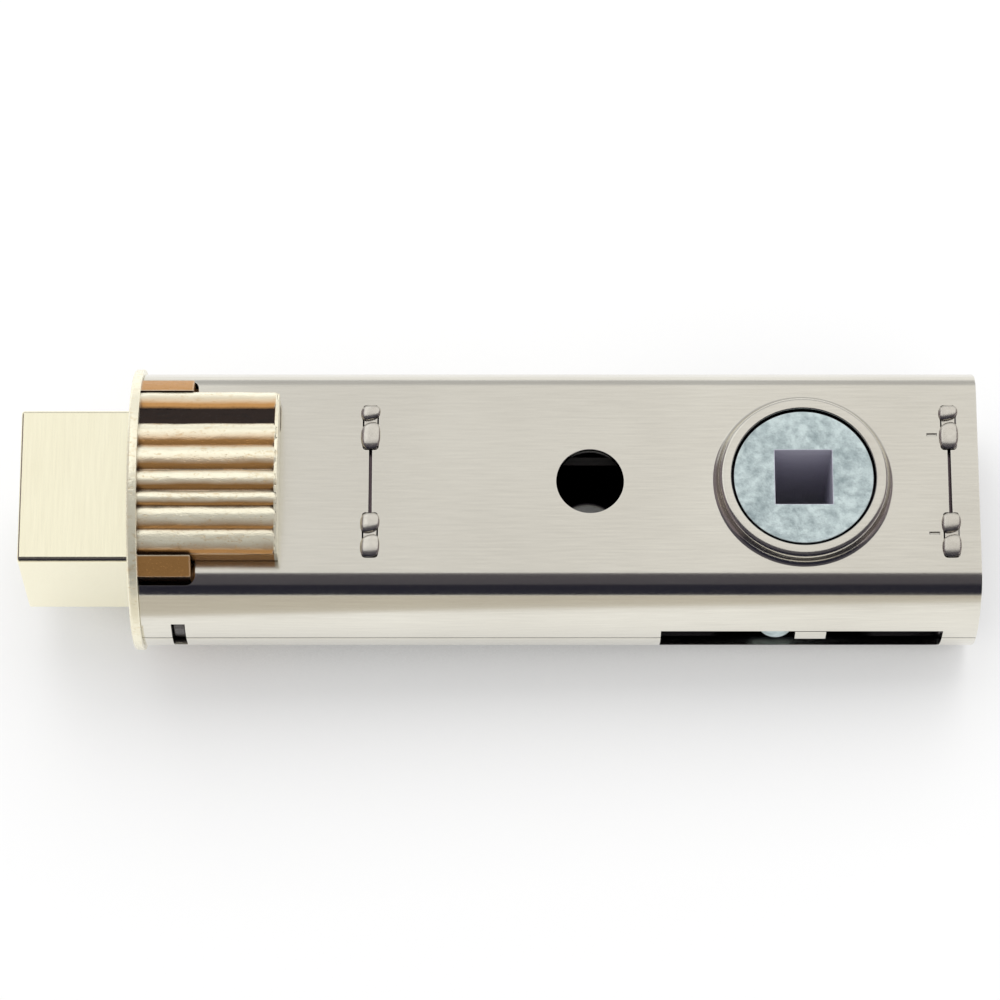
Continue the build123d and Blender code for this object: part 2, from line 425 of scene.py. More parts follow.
class Nodes:
    """Adds nodes to a tree and links them by their sockets."""

    def __init__(self, tree: bpy.types.NodeTree) -> None:
        """Starts on a tree.

        Args:
            tree: The tree to add to.
        """
        self.tree = tree

    def add(self, kind: str, inputs: dict[Any, Any] | None = None, **settings: Any) -> bpy.types.Node:
        """Adds a node.

        Args:
            kind: Blender's name of the node type.
            inputs: Values or sockets for its inputs, by name or number.
            settings: Properties of the node itself.

        Returns:
            The node.
        """
        node = self.tree.nodes.new(kind)
        for name, value in settings.items():
            setattr(node, name, value)
        for key, value in (inputs or {}).items():
            if isinstance(value, Socket):
                self.tree.links.new(value, node.inputs[key])
            else:
                node.inputs[key].default_value = value
        return node

    def math(self, operation: str, *values: Any) -> Socket:
        """Works out a number from others with one Math node."""
        return self.add("ShaderNodeMath", dict(enumerate(values)), operation=operation).outputs[0]

    def mix(self, factor: Any, first: Any, second: Any) -> Socket:
        """Mixes two colours.

        Args:
            factor: Share of the second colour.
            first: First colour or socket.
            second: Second colour or socket.

        Returns:
            The mixed colour.
        """
        ends = [value if isinstance(value, Socket) else (*value, 1) for value in (first, second)]
        return self.add("ShaderNodeMix", {0: factor, 6: ends[0], 7: ends[1]}, data_type="RGBA").outputs[2]

    def ramp(self, value: Any, low: Any, high: Any, start: float = 0.0, end: float = 1.0) -> Socket:
        """Maps a number from one range to another, held at its ends."""
        numbers = {0: value, 1: low, 2: high, 3: start, 4: end}
        return self.add("ShaderNodeMapRange", numbers).outputs[0]

    def split(self, vector: Socket) -> Sockets:
        """Splits a vector into X, Y and Z."""
        return self.add("ShaderNodeSeparateXYZ", {0: vector}).outputs

    def inverse(self, share: Socket) -> Socket:
        """Gives what a share leaves of 1."""
        return self.math("SUBTRACT", 1.0, share)

    def between(self, value: Socket, low: Socket, high: Socket) -> Socket:
        """Gives 1 where a number lies between two others, else 0."""
        above, below = self.math("GREATER_THAN", value, low), self.math("LESS_THAN", value, high)
        return self.math("MULTIPLY", above, below)

    def vector(self, **sides: Any) -> Socket:
        """Makes a vector from X, Y and Z; a side that is left out is 0."""
        return self.add("ShaderNodeCombineXYZ", sides).outputs[0]

    def attribute(self, label: str, kind: str) -> Socket:
        """Reads a named attribute of the points."""
        return self.add("GeometryNodeInputNamedAttribute", {"Name": label}, data_type=kind).outputs[0]

    def radius(self, place: Sockets) -> Socket:
        """Gives the distance from the case's axis."""
        return self.length_of(place["Y"], place["Z"])

    def spindle_distance(self, place: Sockets, spindle: Any) -> Socket:
        """Gives the distance from the spindle's axis."""
        return self.length_of(self.math("SUBTRACT", place["X"], spindle), place["Y"])

    def length_of(self, *sides: Socket) -> Socket:
        """Gives the length of the line whose two sides are given."""
        return self.math("SQRT", self.math("ADD", *(self.math("MULTIPLY", side, side) for side in sides)))


def empty_material(name: str) -> tuple[bpy.types.Material, Nodes]:
    """Makes a material without nodes.

    Args:
        name: Its name.

    Returns:
        The material and its nodes.
    """
    made = bpy.data.materials.new(name)
    made.use_nodes = True
    made.node_tree.nodes.clear()
    return made, Nodes(made.node_tree)


@dataclass(frozen=True)
class Effect:
    """A shader node group that materials share, built once and placed with each one's own values."""

    name: str
    inputs: dict[str, Any]
    outputs: tuple[str, ...]
    draw: Callable[[Nodes, Sockets], tuple]

    def tree(self) -> bpy.types.NodeTree:
        """Builds the group, or finds it where another material has built it.

        Returns:
            The group.
        """
        if self.name in bpy.data.node_groups:
            return bpy.data.node_groups[self.name]
        group = bpy.data.node_groups.new(self.name, "ShaderNodeTree")
        for label, default in self.inputs.items():
            kind = "NodeSocketVector" if isinstance(default, tuple) else "NodeSocketFloat"
            group.interface.new_socket(label, in_out="INPUT", socket_type=kind).default_value = default
        for label in self.outputs:
            group.interface.new_socket(label, in_out="OUTPUT", socket_type="NodeSocketFloat")
        nodes = Nodes(group)
        results = self.draw(nodes, nodes.add("NodeGroupInput").outputs)
        nodes.add("NodeGroupOutput", dict(enumerate(results)))
        return group

    def place(self, nodes: Nodes, values: dict[str, Any]) -> Sockets:
        """Places the group in a material, with values or sockets for its inputs."""
        return nodes.add("ShaderNodeGroup", values, node_tree=self.tree()).outputs


def draw_brushing(nodes: Nodes, given: Sockets) -> tuple[Socket, Socket]:
    """Draws the fine lines of a brushed or drawn sheet, and the slow change of tone across it.

    Args:
        nodes: The group's nodes.
        given: Its inputs.

    Returns:
        Stretched noise for the lines and soft noise for the tone.
    """
    where = given["Vector"]
    drawn = nodes.add("ShaderNodeVectorMath", {0: where, 1: given["Stretch"]}, operation="MULTIPLY")
    lines = nodes.add("ShaderNodeTexNoise", {"Vector": drawn.outputs[0], "Scale": 1.0, "Detail": 4.0,
                                             "Roughness": 0.65})
    tone = nodes.add("ShaderNodeTexNoise", {"Vector": where, "Scale": given["Tone Scale"], "Detail": 2.0})
    return lines.outputs[0], tone.outputs[0]


def draw_casting_skin(nodes: Nodes, given: Sockets) -> tuple[Socket, Socket]:
    """Draws the skin of a die casting: shallow waves, small pits and mottled tone.

    Args:
        nodes: The group's nodes.
        given: Its inputs.

    Returns:
        The height of waves and pits, and the tone.
    """
    where, scale = given["Vector"], given["Scale"]
    waves = nodes.add("ShaderNodeTexNoise", {"Vector": where, "Scale": scale, "Detail": 6.0,
                                             "Roughness": 0.62})
    fine = nodes.math("MULTIPLY", scale, given["Pit Fineness"])
    cells = nodes.add("ShaderNodeTexVoronoi", {"Vector": where, "Scale": fine, "Randomness": 1.0})
    pits = nodes.ramp(cells.outputs["Distance"], given["Pit Floor"], given["Pit Rim"])
    height = nodes.math("ADD", waves.outputs[0], nodes.math("MULTIPLY", pits, given["Pits"]))
    slow = nodes.math("MULTIPLY", scale, given["Mottling"])
    tone = nodes.add("ShaderNodeTexNoise", {"Vector": where, "Scale": slow, "Detail": 5.0, "Roughness": 0.7,
                                            "Distortion": 0.6})
    return height, tone.outputs[0]


def draw_crest_wear_and_shade(nodes: Nodes, given: Sockets) -> tuple[Socket, Socket]:
    """Marks the collar's pale crests, partly wear and partly painted light, and where shade is painted
    dark.

    Args:
        nodes: The group's nodes.
        given: Its inputs.

    Returns:
        Masks of the crests and the flange, worn pale and painted lighter on their upper flanks, and of
        painted shade on the widest groove's floor and in the gaps beside the blocks.
    """
    place = nodes.split(given["Vector"])
    facing = nodes.split(nodes.add("ShaderNodeNewGeometry").outputs["Normal"])
    radius, aside = nodes.radius(place), nodes.math("ABSOLUTE", place["Y"])
    # Painted light: each ridge's flank that faces -Y is painted darker and its flank that faces +Y paler,
    # as light from above and behind falls on them.
    moment = nodes.math("SUBTRACT", nodes.math("MULTIPLY", facing["Y"], place["Z"]),
                        nodes.math("MULTIPLY", facing["Z"], place["Y"]))
    lean = nodes.math("MULTIPLY", nodes.math("DIVIDE", moment, radius), given["Sided Light"])
    worn = nodes.ramp(nodes.math("ADD", radius, lean), given["Valley"], given["Crest"])
    crest = nodes.math("MAXIMUM", worn, nodes.math("GREATER_THAN", place["X"], given["Lip"]))
    beside = nodes.math("ADD", given["Half Width"], given["Lobe Edge"])
    lobe = nodes.ramp(aside, given["Half Width"], beside, 1.0, 0.0)
    flange = nodes.math("MAXIMUM", nodes.math("GREATER_THAN", radius, given["Flange"]),
                        nodes.math("LESS_THAN", place["X"], given["Flange Back"]))
    # Painted shade: the floor of the widest groove and the gaps beside the blocks.
    low = nodes.ramp(radius, given["Groove"], given["Groove Top"], 1.0, 0.0)
    across = nodes.math("MULTIPLY", place["Y"], nodes.math("SIGN", place["Z"]))
    turn = nodes.math("DIVIDE", across, radius)
    within = nodes.between(turn, given["Groove From"], given["Groove To"])
    before = nodes.math("LESS_THAN", place["X"], given["Lip"])
    deep = nodes.math("MULTIPLY", low, nodes.math("MULTIPLY", within, before))
    wall = nodes.math("MULTIPLY", nodes.math("GREATER_THAN", aside, given["Block"]),
                      nodes.math("LESS_THAN", radius, given["Block Top"]))
    bare = nodes.inverse(flange)
    return (nodes.math("MAXIMUM", nodes.math("MULTIPLY", crest, lobe), flange),
            nodes.math("MULTIPLY", nodes.math("MAXIMUM", deep, wall), bare))


def draw_tube_inside(nodes: Nodes, given: Sockets) -> tuple[Socket]:
    """Marks the case's inner faces and the walls of its openings, away from the tail's edge, where shade is
    painted.

    Args:
        nodes: The group's nodes.
        given: Its inputs.

    Returns:
        The mask.
    """
    place = nodes.split(given["Vector"])
    height = nodes.math("ABSOLUTE", place["Z"])
    under_side = nodes.math("SUBTRACT", given["Radius"], nodes.radius(place))
    under_flat = nodes.math("SUBTRACT", given["Flat"], height)
    below_skin = nodes.ramp(nodes.math("MINIMUM", under_side, under_flat), given["Edge"], given["Skin"])
    to_tail = nodes.math("SUBTRACT", given["Tail"], place["X"])
    tube = nodes.math("MULTIPLY", below_skin, nodes.ramp(to_tail, given["Edge"], given["Tail Edge"]))
    in_bore = nodes.math("LESS_THAN", nodes.spindle_distance(place, given["Spindle"]), given["Bore"])
    bore = nodes.math("MULTIPLY", in_bore, nodes.math("LESS_THAN", height, given["Rim"]))
    return (nodes.math("MAXIMUM", tube, bore),)


def draw_socket_and_step(nodes: Nodes, given: Sockets) -> tuple[Socket, Socket]:
    """Marks the hub's square hole, and the step below its faces that the rim hides and that is painted in
    shade.

    Args:
        nodes: The group's nodes.
        given: Its inputs.

    Returns:
        Masks of the hole and of the step.
    """
    place = nodes.split(given["Vector"])
    along = nodes.math("ABSOLUTE", nodes.math("SUBTRACT", place["X"], given["Spindle"]))
    aside = nodes.math("MAXIMUM", along, nodes.math("ABSOLUTE", place["Y"]))
    inside = nodes.math("LESS_THAN", aside, given["Half Width"])
    depth = nodes.math("SUBTRACT", given["Face"], nodes.math("ABSOLUTE", place["Z"]))
    from_axis = nodes.spindle_distance(place, given["Spindle"])
    outside = nodes.math("GREATER_THAN", from_axis, given["Face Radius"])
    shallow = nodes.math("LESS_THAN", depth, given["Step"])
    step = nodes.math("MULTIPLY", nodes.ramp(depth, given["Edge"], given["Edge Depth"]), shallow)
    return inside, nodes.math("MULTIPLY", outside, step)


def draw_edge_rub(nodes: Nodes, given: Sockets) -> tuple[Socket]:
    """Marks rubbed outer edges by the angle between the true normal and one rounded over a radius.

    Args:
        nodes: The group's nodes.
        given: Its inputs.

    Returns:
        The mask, 1 on edges and corners and 0 on open faces.
    """
    smooth = nodes.add("ShaderNodeBevel", {"Radius": given["Radius"]}, samples=6).outputs[0]
    true = nodes.add("ShaderNodeNewGeometry").outputs["Normal"]
    match = nodes.add("ShaderNodeVectorMath", {0: smooth, 1: true}, operation="DOT_PRODUCT")
    apart = nodes.inverse(match.outputs["Value"])
    return (nodes.ramp(nodes.math("MULTIPLY", apart, given["Gain"]), 0.0, 1.0),)


def draw_recess_painted_shade(nodes: Nodes, given: Sockets) -> tuple[Socket]:
    """Marks gaps and corners by how closed the view outwards is, for painted shade there.

    Args:
        nodes: The group's nodes.
        given: Its inputs.

    Returns:
        The mask.
    """
    reach = {"Distance": given["Distance"]}
    # Painted shade: the less open the view outwards, the darker the surface is painted.
    view = nodes.add("ShaderNodeAmbientOcclusion", reach, samples=8, only_local=True)
    return (nodes.ramp(nodes.inverse(view.outputs["AO"]), given["Start"], given["Full"]),)


# Lengths in the effects are in metres, as Object coordinates are.
ORIGIN = (0.0, 0.0, 0.0)
BRUSHING = Effect("brushing", {"Vector": ORIGIN, "Stretch": (1.0, 1.0, 1.0), "Tone Scale": 80.0},
                  ("Lines", "Tone"), draw_brushing)
CASTING_SKIN = Effect("casting_skin", {
    "Vector": ORIGIN, "Scale": 1500.0, "Pits": 0.3, "Pit Fineness": 2.3, "Pit Floor": 0.05, "Pit Rim": 0.32,
    "Mottling": 0.35,
}, ("Height", "Tone"), draw_casting_skin)
CREST_WEAR_AND_SHADE = Effect("crest_wear_and_shade", {
    "Vector": ORIGIN, "Valley": 0.01208, "Crest": 0.0125, "Sided Light": 0.0005, "Half Width": 0.0077,
    "Lobe Edge": 0.0002, "Flange": 0.0126, "Flange Back": 0.00092, "Groove": 0.01203, "Groove Top": 0.01218,
    "Groove From": 0.29, "Groove To": 0.5, "Lip": 0.013, "Block": 0.00925, "Block Top": 0.01242,
}, ("Crest", "Deep"), draw_crest_wear_and_shade)
TUBE_INSIDE = Effect("tube_inside", {
    "Vector": ORIGIN, "Radius": 0.01225, "Flat": 0.0075, "Edge": 0.0003, "Skin": 0.0006, "Tail": 0.0757,
    "Tail Edge": 0.0012, "Spindle": SPINDLE * MM, "Bore": 0.0065, "Rim": 0.00866,
}, ("Mask",), draw_tube_inside)
SOCKET_AND_STEP = Effect("socket_and_step", {
    "Vector": ORIGIN, "Spindle": SPINDLE * MM, "Half Width": 0.0026, "Face": 0.0086, "Face Radius": 0.00615,
    "Edge": 0.00004, "Edge Depth": 0.0002, "Step": 0.0024,
}, ("Socket", "Step"), draw_socket_and_step)
EDGE_RUB = Effect("edge_rub", {"Radius": 0.0002, "Gain": 6.0}, ("Mask",), draw_edge_rub)
RECESS_PAINTED_SHADE = Effect("recess_painted_shade", {"Distance": 0.0008, "Start": 0.35, "Full": 0.95}, ("Mask",),
                      draw_recess_painted_shade)


@dataclass(frozen=True)
class Finish:
    """A metal surface: what every finish of this latch has in common."""

    name: str
    slot: str
    colour: Colour
    shade: Colour
    rubbed: Colour
    roughness: float
    roughness_spread: float
    bump: float
    # This strength, with the recess sizes and the colour below, paints shade into gaps and corners.
    recess_shading: float
    recess_depth: float = 0.8
    recess_start: float = 0.35
    recess_full: float = 0.95
    contrast: float = 0.2
    # Colour of the painted shade in gaps and corners.
    recess_shade_colour: Colour = linear(30, 27, 27)
    middle_tone: float = 0.5
    edge_wear: float = 0.6
    roughness_tones: tuple[float, float] = (0.3, 0.7)

    def texture(self, nodes: Nodes, where: Socket) -> tuple[Socket, Socket]:
        """Adds the finish's own pattern and gives its fine relief and its slow tone, both about 0 to 1."""
        raise NotImplementedError

    def metallic(self, nodes: Nodes, where: Socket) -> Any:
        """Gives how much of the surface mirrors as metal."""
        return 1.0

    def tint(self, nodes: Nodes, where: Socket, light: Socket) -> Socket:
        """Gives the metal's own colour before wear and painted shade, by the share of the lighter of its
        two.
        """
        return nodes.mix(light, self.shade, self.colour)

    def inner_shade_and_tone(self, nodes: Nodes, where: Socket, colour: Socket, light: Socket) -> Socket:
        """Paints shade on what lies inside the latch; a plain finish has no such place."""
        return colour

    def material(self) -> bpy.types.Material:
        """Builds the material once.

        Returns:
            The material.
        """
        if self.name in bpy.data.materials:
            return bpy.data.materials[self.name]
        made, nodes = empty_material(self.name)
        where = nodes.add("ShaderNodeTexCoord").outputs["Object"]
        relief, tone = self.texture(nodes, where)
        edges = EDGE_RUB.place(nodes, {})["Mask"]
        recess = RECESS_PAINTED_SHADE.place(nodes, {"Distance": self.recess_depth * MM, "Start": self.recess_start,
                                            "Full": self.recess_full})["Mask"]
        blend = nodes.math("DIVIDE", nodes.math("ADD", relief, tone), 2.0)
        light = nodes.ramp(blend, self.middle_tone - self.contrast, self.middle_tone + self.contrast)
        colour = self.tint(nodes, where, light)
        colour = nodes.mix(nodes.math("MULTIPLY", edges, self.edge_wear), colour, self.rubbed)
        # Painted shade in gaps and corners.
        colour = nodes.mix(nodes.math("MULTIPLY", recess, self.recess_shading), colour, self.recess_shade_colour)
        colour = self.inner_shade_and_tone(nodes, where, colour, light)
        low, high = self.roughness - self.roughness_spread, self.roughness + self.roughness_spread
        rough = nodes.ramp(blend, *self.roughness_tones, high, low)
        bump = nodes.add("ShaderNodeBump", {"Height": relief, "Distance": self.bump * MM, "Strength": 1.0})
        surface = nodes.add("ShaderNodeBsdfPrincipled", {"Base Color": colour, "Roughness": rough,
                                                         "Metallic": self.metallic(nodes, where),
                                                         "Normal": bump.outputs[0]})
        nodes.add("ShaderNodeOutputMaterial", {"Surface": surface.outputs[0]})
        return made


@dataclass(frozen=True)
class BrushedFinish(Finish):
    """Sheet or bar with fine lines in one direction."""

    stretch: tuple[float, float, float] = (60.0, 6000.0, 6000.0)
    tone_scale: float = 60.0

    def texture(self, nodes: Nodes, where: Socket) -> tuple[Socket, Socket]:
        """Adds the brushing lines and the slow tone."""
        values = {"Vector": where, "Stretch": self.stretch, "Tone Scale": self.tone_scale}
        return tuple(BRUSHING.place(nodes, values))


@dataclass(frozen=True)
class ShellFinish(BrushedFinish):
    """Brushed sheet of the case, with painted shade on its inner faces."""

    # The colour of the painted shade on the inner faces.
    inner: Colour = linear(84, 78, 82)

    def inner_shade_and_tone(self, nodes: Nodes, where: Socket, colour: Socket, light: Socket) -> Socket:
        """Paints shade on the inner faces and the walls of the openings."""
        return nodes.mix(TUBE_INSIDE.place(nodes, {"Vector": where})["Mask"], colour, self.inner)


@dataclass(frozen=True)
class CastFinish(Finish):
    """Die casting with a pitted skin."""

    grain_scale: float = 1500.0
    pits: float = 0.3
    metal_share: float = 1.0

    def texture(self, nodes: Nodes, where: Socket) -> tuple[Socket, Socket]:
        """Adds the casting's waves, pits and mottled tone."""
        values = {"Vector": where, "Scale": self.grain_scale, "Pits": self.pits}
        return tuple(CASTING_SKIN.place(nodes, values))

    def metallic(self, nodes: Nodes, where: Socket) -> Any:
        """Gives how much of the surface mirrors as metal."""
        return self.metal_share


@dataclass(frozen=True)
class KnurledFinish(CastFinish):
    """Plated casting: crests worn pale and painted lighter on their upper flanks, valleys in the darker
    plate with painted shade, and painted black shade in the deepest gaps.
    """

    # The valley colour is partly the darker plate and partly painted shade; the two deep colours are
    # painted shade.
    valley_plate_and_shade: Colour = linear(192, 142, 84)
    deep: Colour = linear(2, 2, 3)
    deep_light: Colour = linear(40, 27, 20)
    streak: tuple[float, float, float] = (0.5, 1.0, 1.0)

    def texture(self, nodes: Nodes, where: Socket) -> tuple[Socket, Socket]:
        """Draws the casting's skin out along the ridges."""
        drawn = nodes.add("ShaderNodeVectorMath", {0: where, 1: self.streak}, operation="MULTIPLY")
        return super().texture(nodes, drawn.outputs[0])

    def tint(self, nodes: Nodes, where: Socket, light: Socket) -> Socket:
        """Gives pale crests and darker valleys: partly wear, partly painted light on the crests and painted
        shade in the valleys.
        """
        crest = CREST_WEAR_AND_SHADE.place(nodes, {"Vector": where})["Crest"]
        return nodes.mix(crest, self.valley_plate_and_shade, super().tint(nodes, where, light))

    def inner_shade_and_tone(self, nodes: Nodes, where: Socket, colour: Socket, light: Socket) -> Socket:
        """Paints black shade on the floor of the widest groove and in the gaps beside the blocks."""
        deep = CREST_WEAR_AND_SHADE.place(nodes, {"Vector": where})["Deep"]
        return nodes.mix(deep, colour, nodes.mix(light, self.deep, self.deep_light))


@dataclass(frozen=True)
class HubFinish(CastFinish):
    """Dull casting, raw inside its square hole and with painted shade on the step below the rim of the
    case.
    """

    raw: Colour = linear(186, 184, 198)
    # Colour of the painted shade on the step that the rim hides.
    step_shade: Colour = linear(52, 44, 54)

    def inner_shade_and_tone(self, nodes: Nodes, where: Socket, colour: Socket, light: Socket) -> Socket:
        """Gives the square hole its raw colour and paints shade on the step below the face."""
        masks = SOCKET_AND_STEP.place(nodes, {"Vector": where})
        return nodes.mix(masks["Step"], nodes.mix(masks["Socket"], colour, self.raw), self.step_shade)

    def metallic(self, nodes: Nodes, where: Socket) -> Any:
        """Leaves the square hole without a mirror's shine."""
        outside = nodes.inverse(SOCKET_AND_STEP.place(nodes, {"Vector": where})["Socket"])
        return nodes.math("MULTIPLY", outside, self.metal_share)


CASE_NICKEL = ShellFinish(
    name="satin_nickel", slot="case_nickel", colour=linear(233, 230, 219), shade=linear(219, 215, 204),
    rubbed=linear(240, 238, 230), roughness=0.2, roughness_spread=0.04, bump=0.0012, recess_shading=0.9,
    stretch=(220.0, 5200.0, 5200.0))
BOLT_BRASS = BrushedFinish(
    name="satin_brass", slot="bolt_brass", colour=linear(255, 250, 224), shade=linear(249, 243, 214),
    rubbed=linear(236, 218, 182), roughness=0.19, roughness_spread=0.03, bump=0.001, recess_shading=0.9,
    stretch=(5200.0, 220.0, 5200.0))
COLLAR_BRASS = KnurledFinish(
    name="cast_brass_plate", slot="collar_brass", colour=linear(255, 249, 224), shade=linear(218, 186, 134),
    rubbed=linear(255, 248, 224), roughness=0.24, roughness_spread=0.08, bump=0.05, recess_shading=0.92,
    recess_depth=0.7, recess_start=0.16, recess_full=0.5, contrast=0.12, recess_shade_colour=linear(66, 42, 28),
    grain_scale=2400.0, metal_share=0.58)
HUB_ZINC = HubFinish(
    name="dull_zinc", slot="hub_zinc", colour=linear(216, 231, 231), shade=linear(160, 176, 179),
    rubbed=linear(208, 219, 219), roughness=0.42, roughness_spread=0.12, bump=0.08, recess_shading=0.9,
    contrast=0.11, grain_scale=1200.0, pits=0.05, metal_share=0.7)
# Its recess reaches 6 mm, so shade is painted over much of the inner steel.
INNER_STEEL = BrushedFinish(
    name="oiled_steel", slot="inner_steel", colour=linear(92, 88, 86), shade=linear(66, 62, 61),
    rubbed=linear(104, 100, 97), roughness=0.4, roughness_spread=0.06, bump=0.001, recess_shading=0.95,
    recess_depth=6.0, recess_start=0.2, recess_full=0.7)
PLATE_STEEL = ShellFinish(
    name="plated_steel", slot="plate_steel", colour=linear(236, 232, 222), shade=linear(214, 209, 198),
    rubbed=linear(240, 237, 228), roughness=0.26, roughness_spread=0.05, bump=0.002, recess_shading=0.95,
    recess_depth=1.2, recess_start=0.4, stretch=(2500.0, 2500.0, 2500.0), inner=linear(100, 88, 92))


class NodesModifier:
    """A geometry node tree in the making, with named inputs, baked into a plain shape."""

    def __init__(self, name: str) -> None:
        """Starts an empty tree.

        Args:
            name: Name of the tree.
        """
        self.tree = bpy.data.node_groups.new(name, "GeometryNodeTree")
        self.tree.interface.new_socket("Geometry", in_out="OUTPUT", socket_type="NodeSocketGeometry")
        self.tree.interface.new_socket("Geometry", in_out="INPUT", socket_type="NodeSocketGeometry")
        self.nodes = Nodes(self.tree)
        self.values: dict[str, Any] = {}

    def take(self, sizes: dict[str, Any]) -> Sockets:
        """Adds the named inputs and notes their values.

        Args:
            sizes: A whole number, a number or a material for each input.

        Returns:
            The tree's inputs.
        """
        kinds = {int: "NodeSocketInt", float: "NodeSocketFloat"}
        for label, value in sizes.items():
            kind = kinds.get(type(value), "NodeSocketMaterial")
            socket = self.tree.interface.new_socket(label, in_out="INPUT", socket_type=kind)
            self.values[socket.identifier] = value
        return self.nodes.add("NodeGroupInput").outputs

    def close(self, geometry: Socket, material: Socket) -> None:
        """Ends the tree in Realize Instances and Set Material.

        Args:
            geometry: What the tree has made.
            material: The tree's material input.
        """
        real = self.nodes.add("GeometryNodeRealizeInstances", {0: geometry}).outputs[0]
        dressed = self.nodes.add("GeometryNodeSetMaterial", {"Geometry": real, "Material": material})
        self.nodes.add("NodeGroupOutput", {0: dressed.outputs[0]})

    def bake(self, name: str, carrier: bpy.types.Mesh) -> Workpiece:
        """Runs the tree on a carrier mesh and turns the result into a plain piece.

        Args:
            name: Name of the new piece.
            carrier: Mesh that the tree starts from.

        Returns:
            The piece on the bench.
        """
        holder = bpy.data.objects.new(name + "_carrier", carrier)
        modifier = holder.modifiers.new("nodes", "NODES")
        modifier.node_group = self.tree
        for identifier, value in self.values.items():
            modifier[identifier] = value
        bpy.context.scene.collection.objects.link(holder)
        graph = bpy.context.evaluated_depsgraph_get()
        made = bpy.data.meshes.new_from_object(holder.evaluated_get(graph))
        holder.modifiers.clear()
        bpy.data.objects.remove(holder)
        shape = bmesh.new()
        shape.from_mesh(made)
        bpy.data.meshes.remove(made)
        bmesh.ops.recalc_face_normals(shape, faces=shape.faces)
        return Workpiece(name, shape)


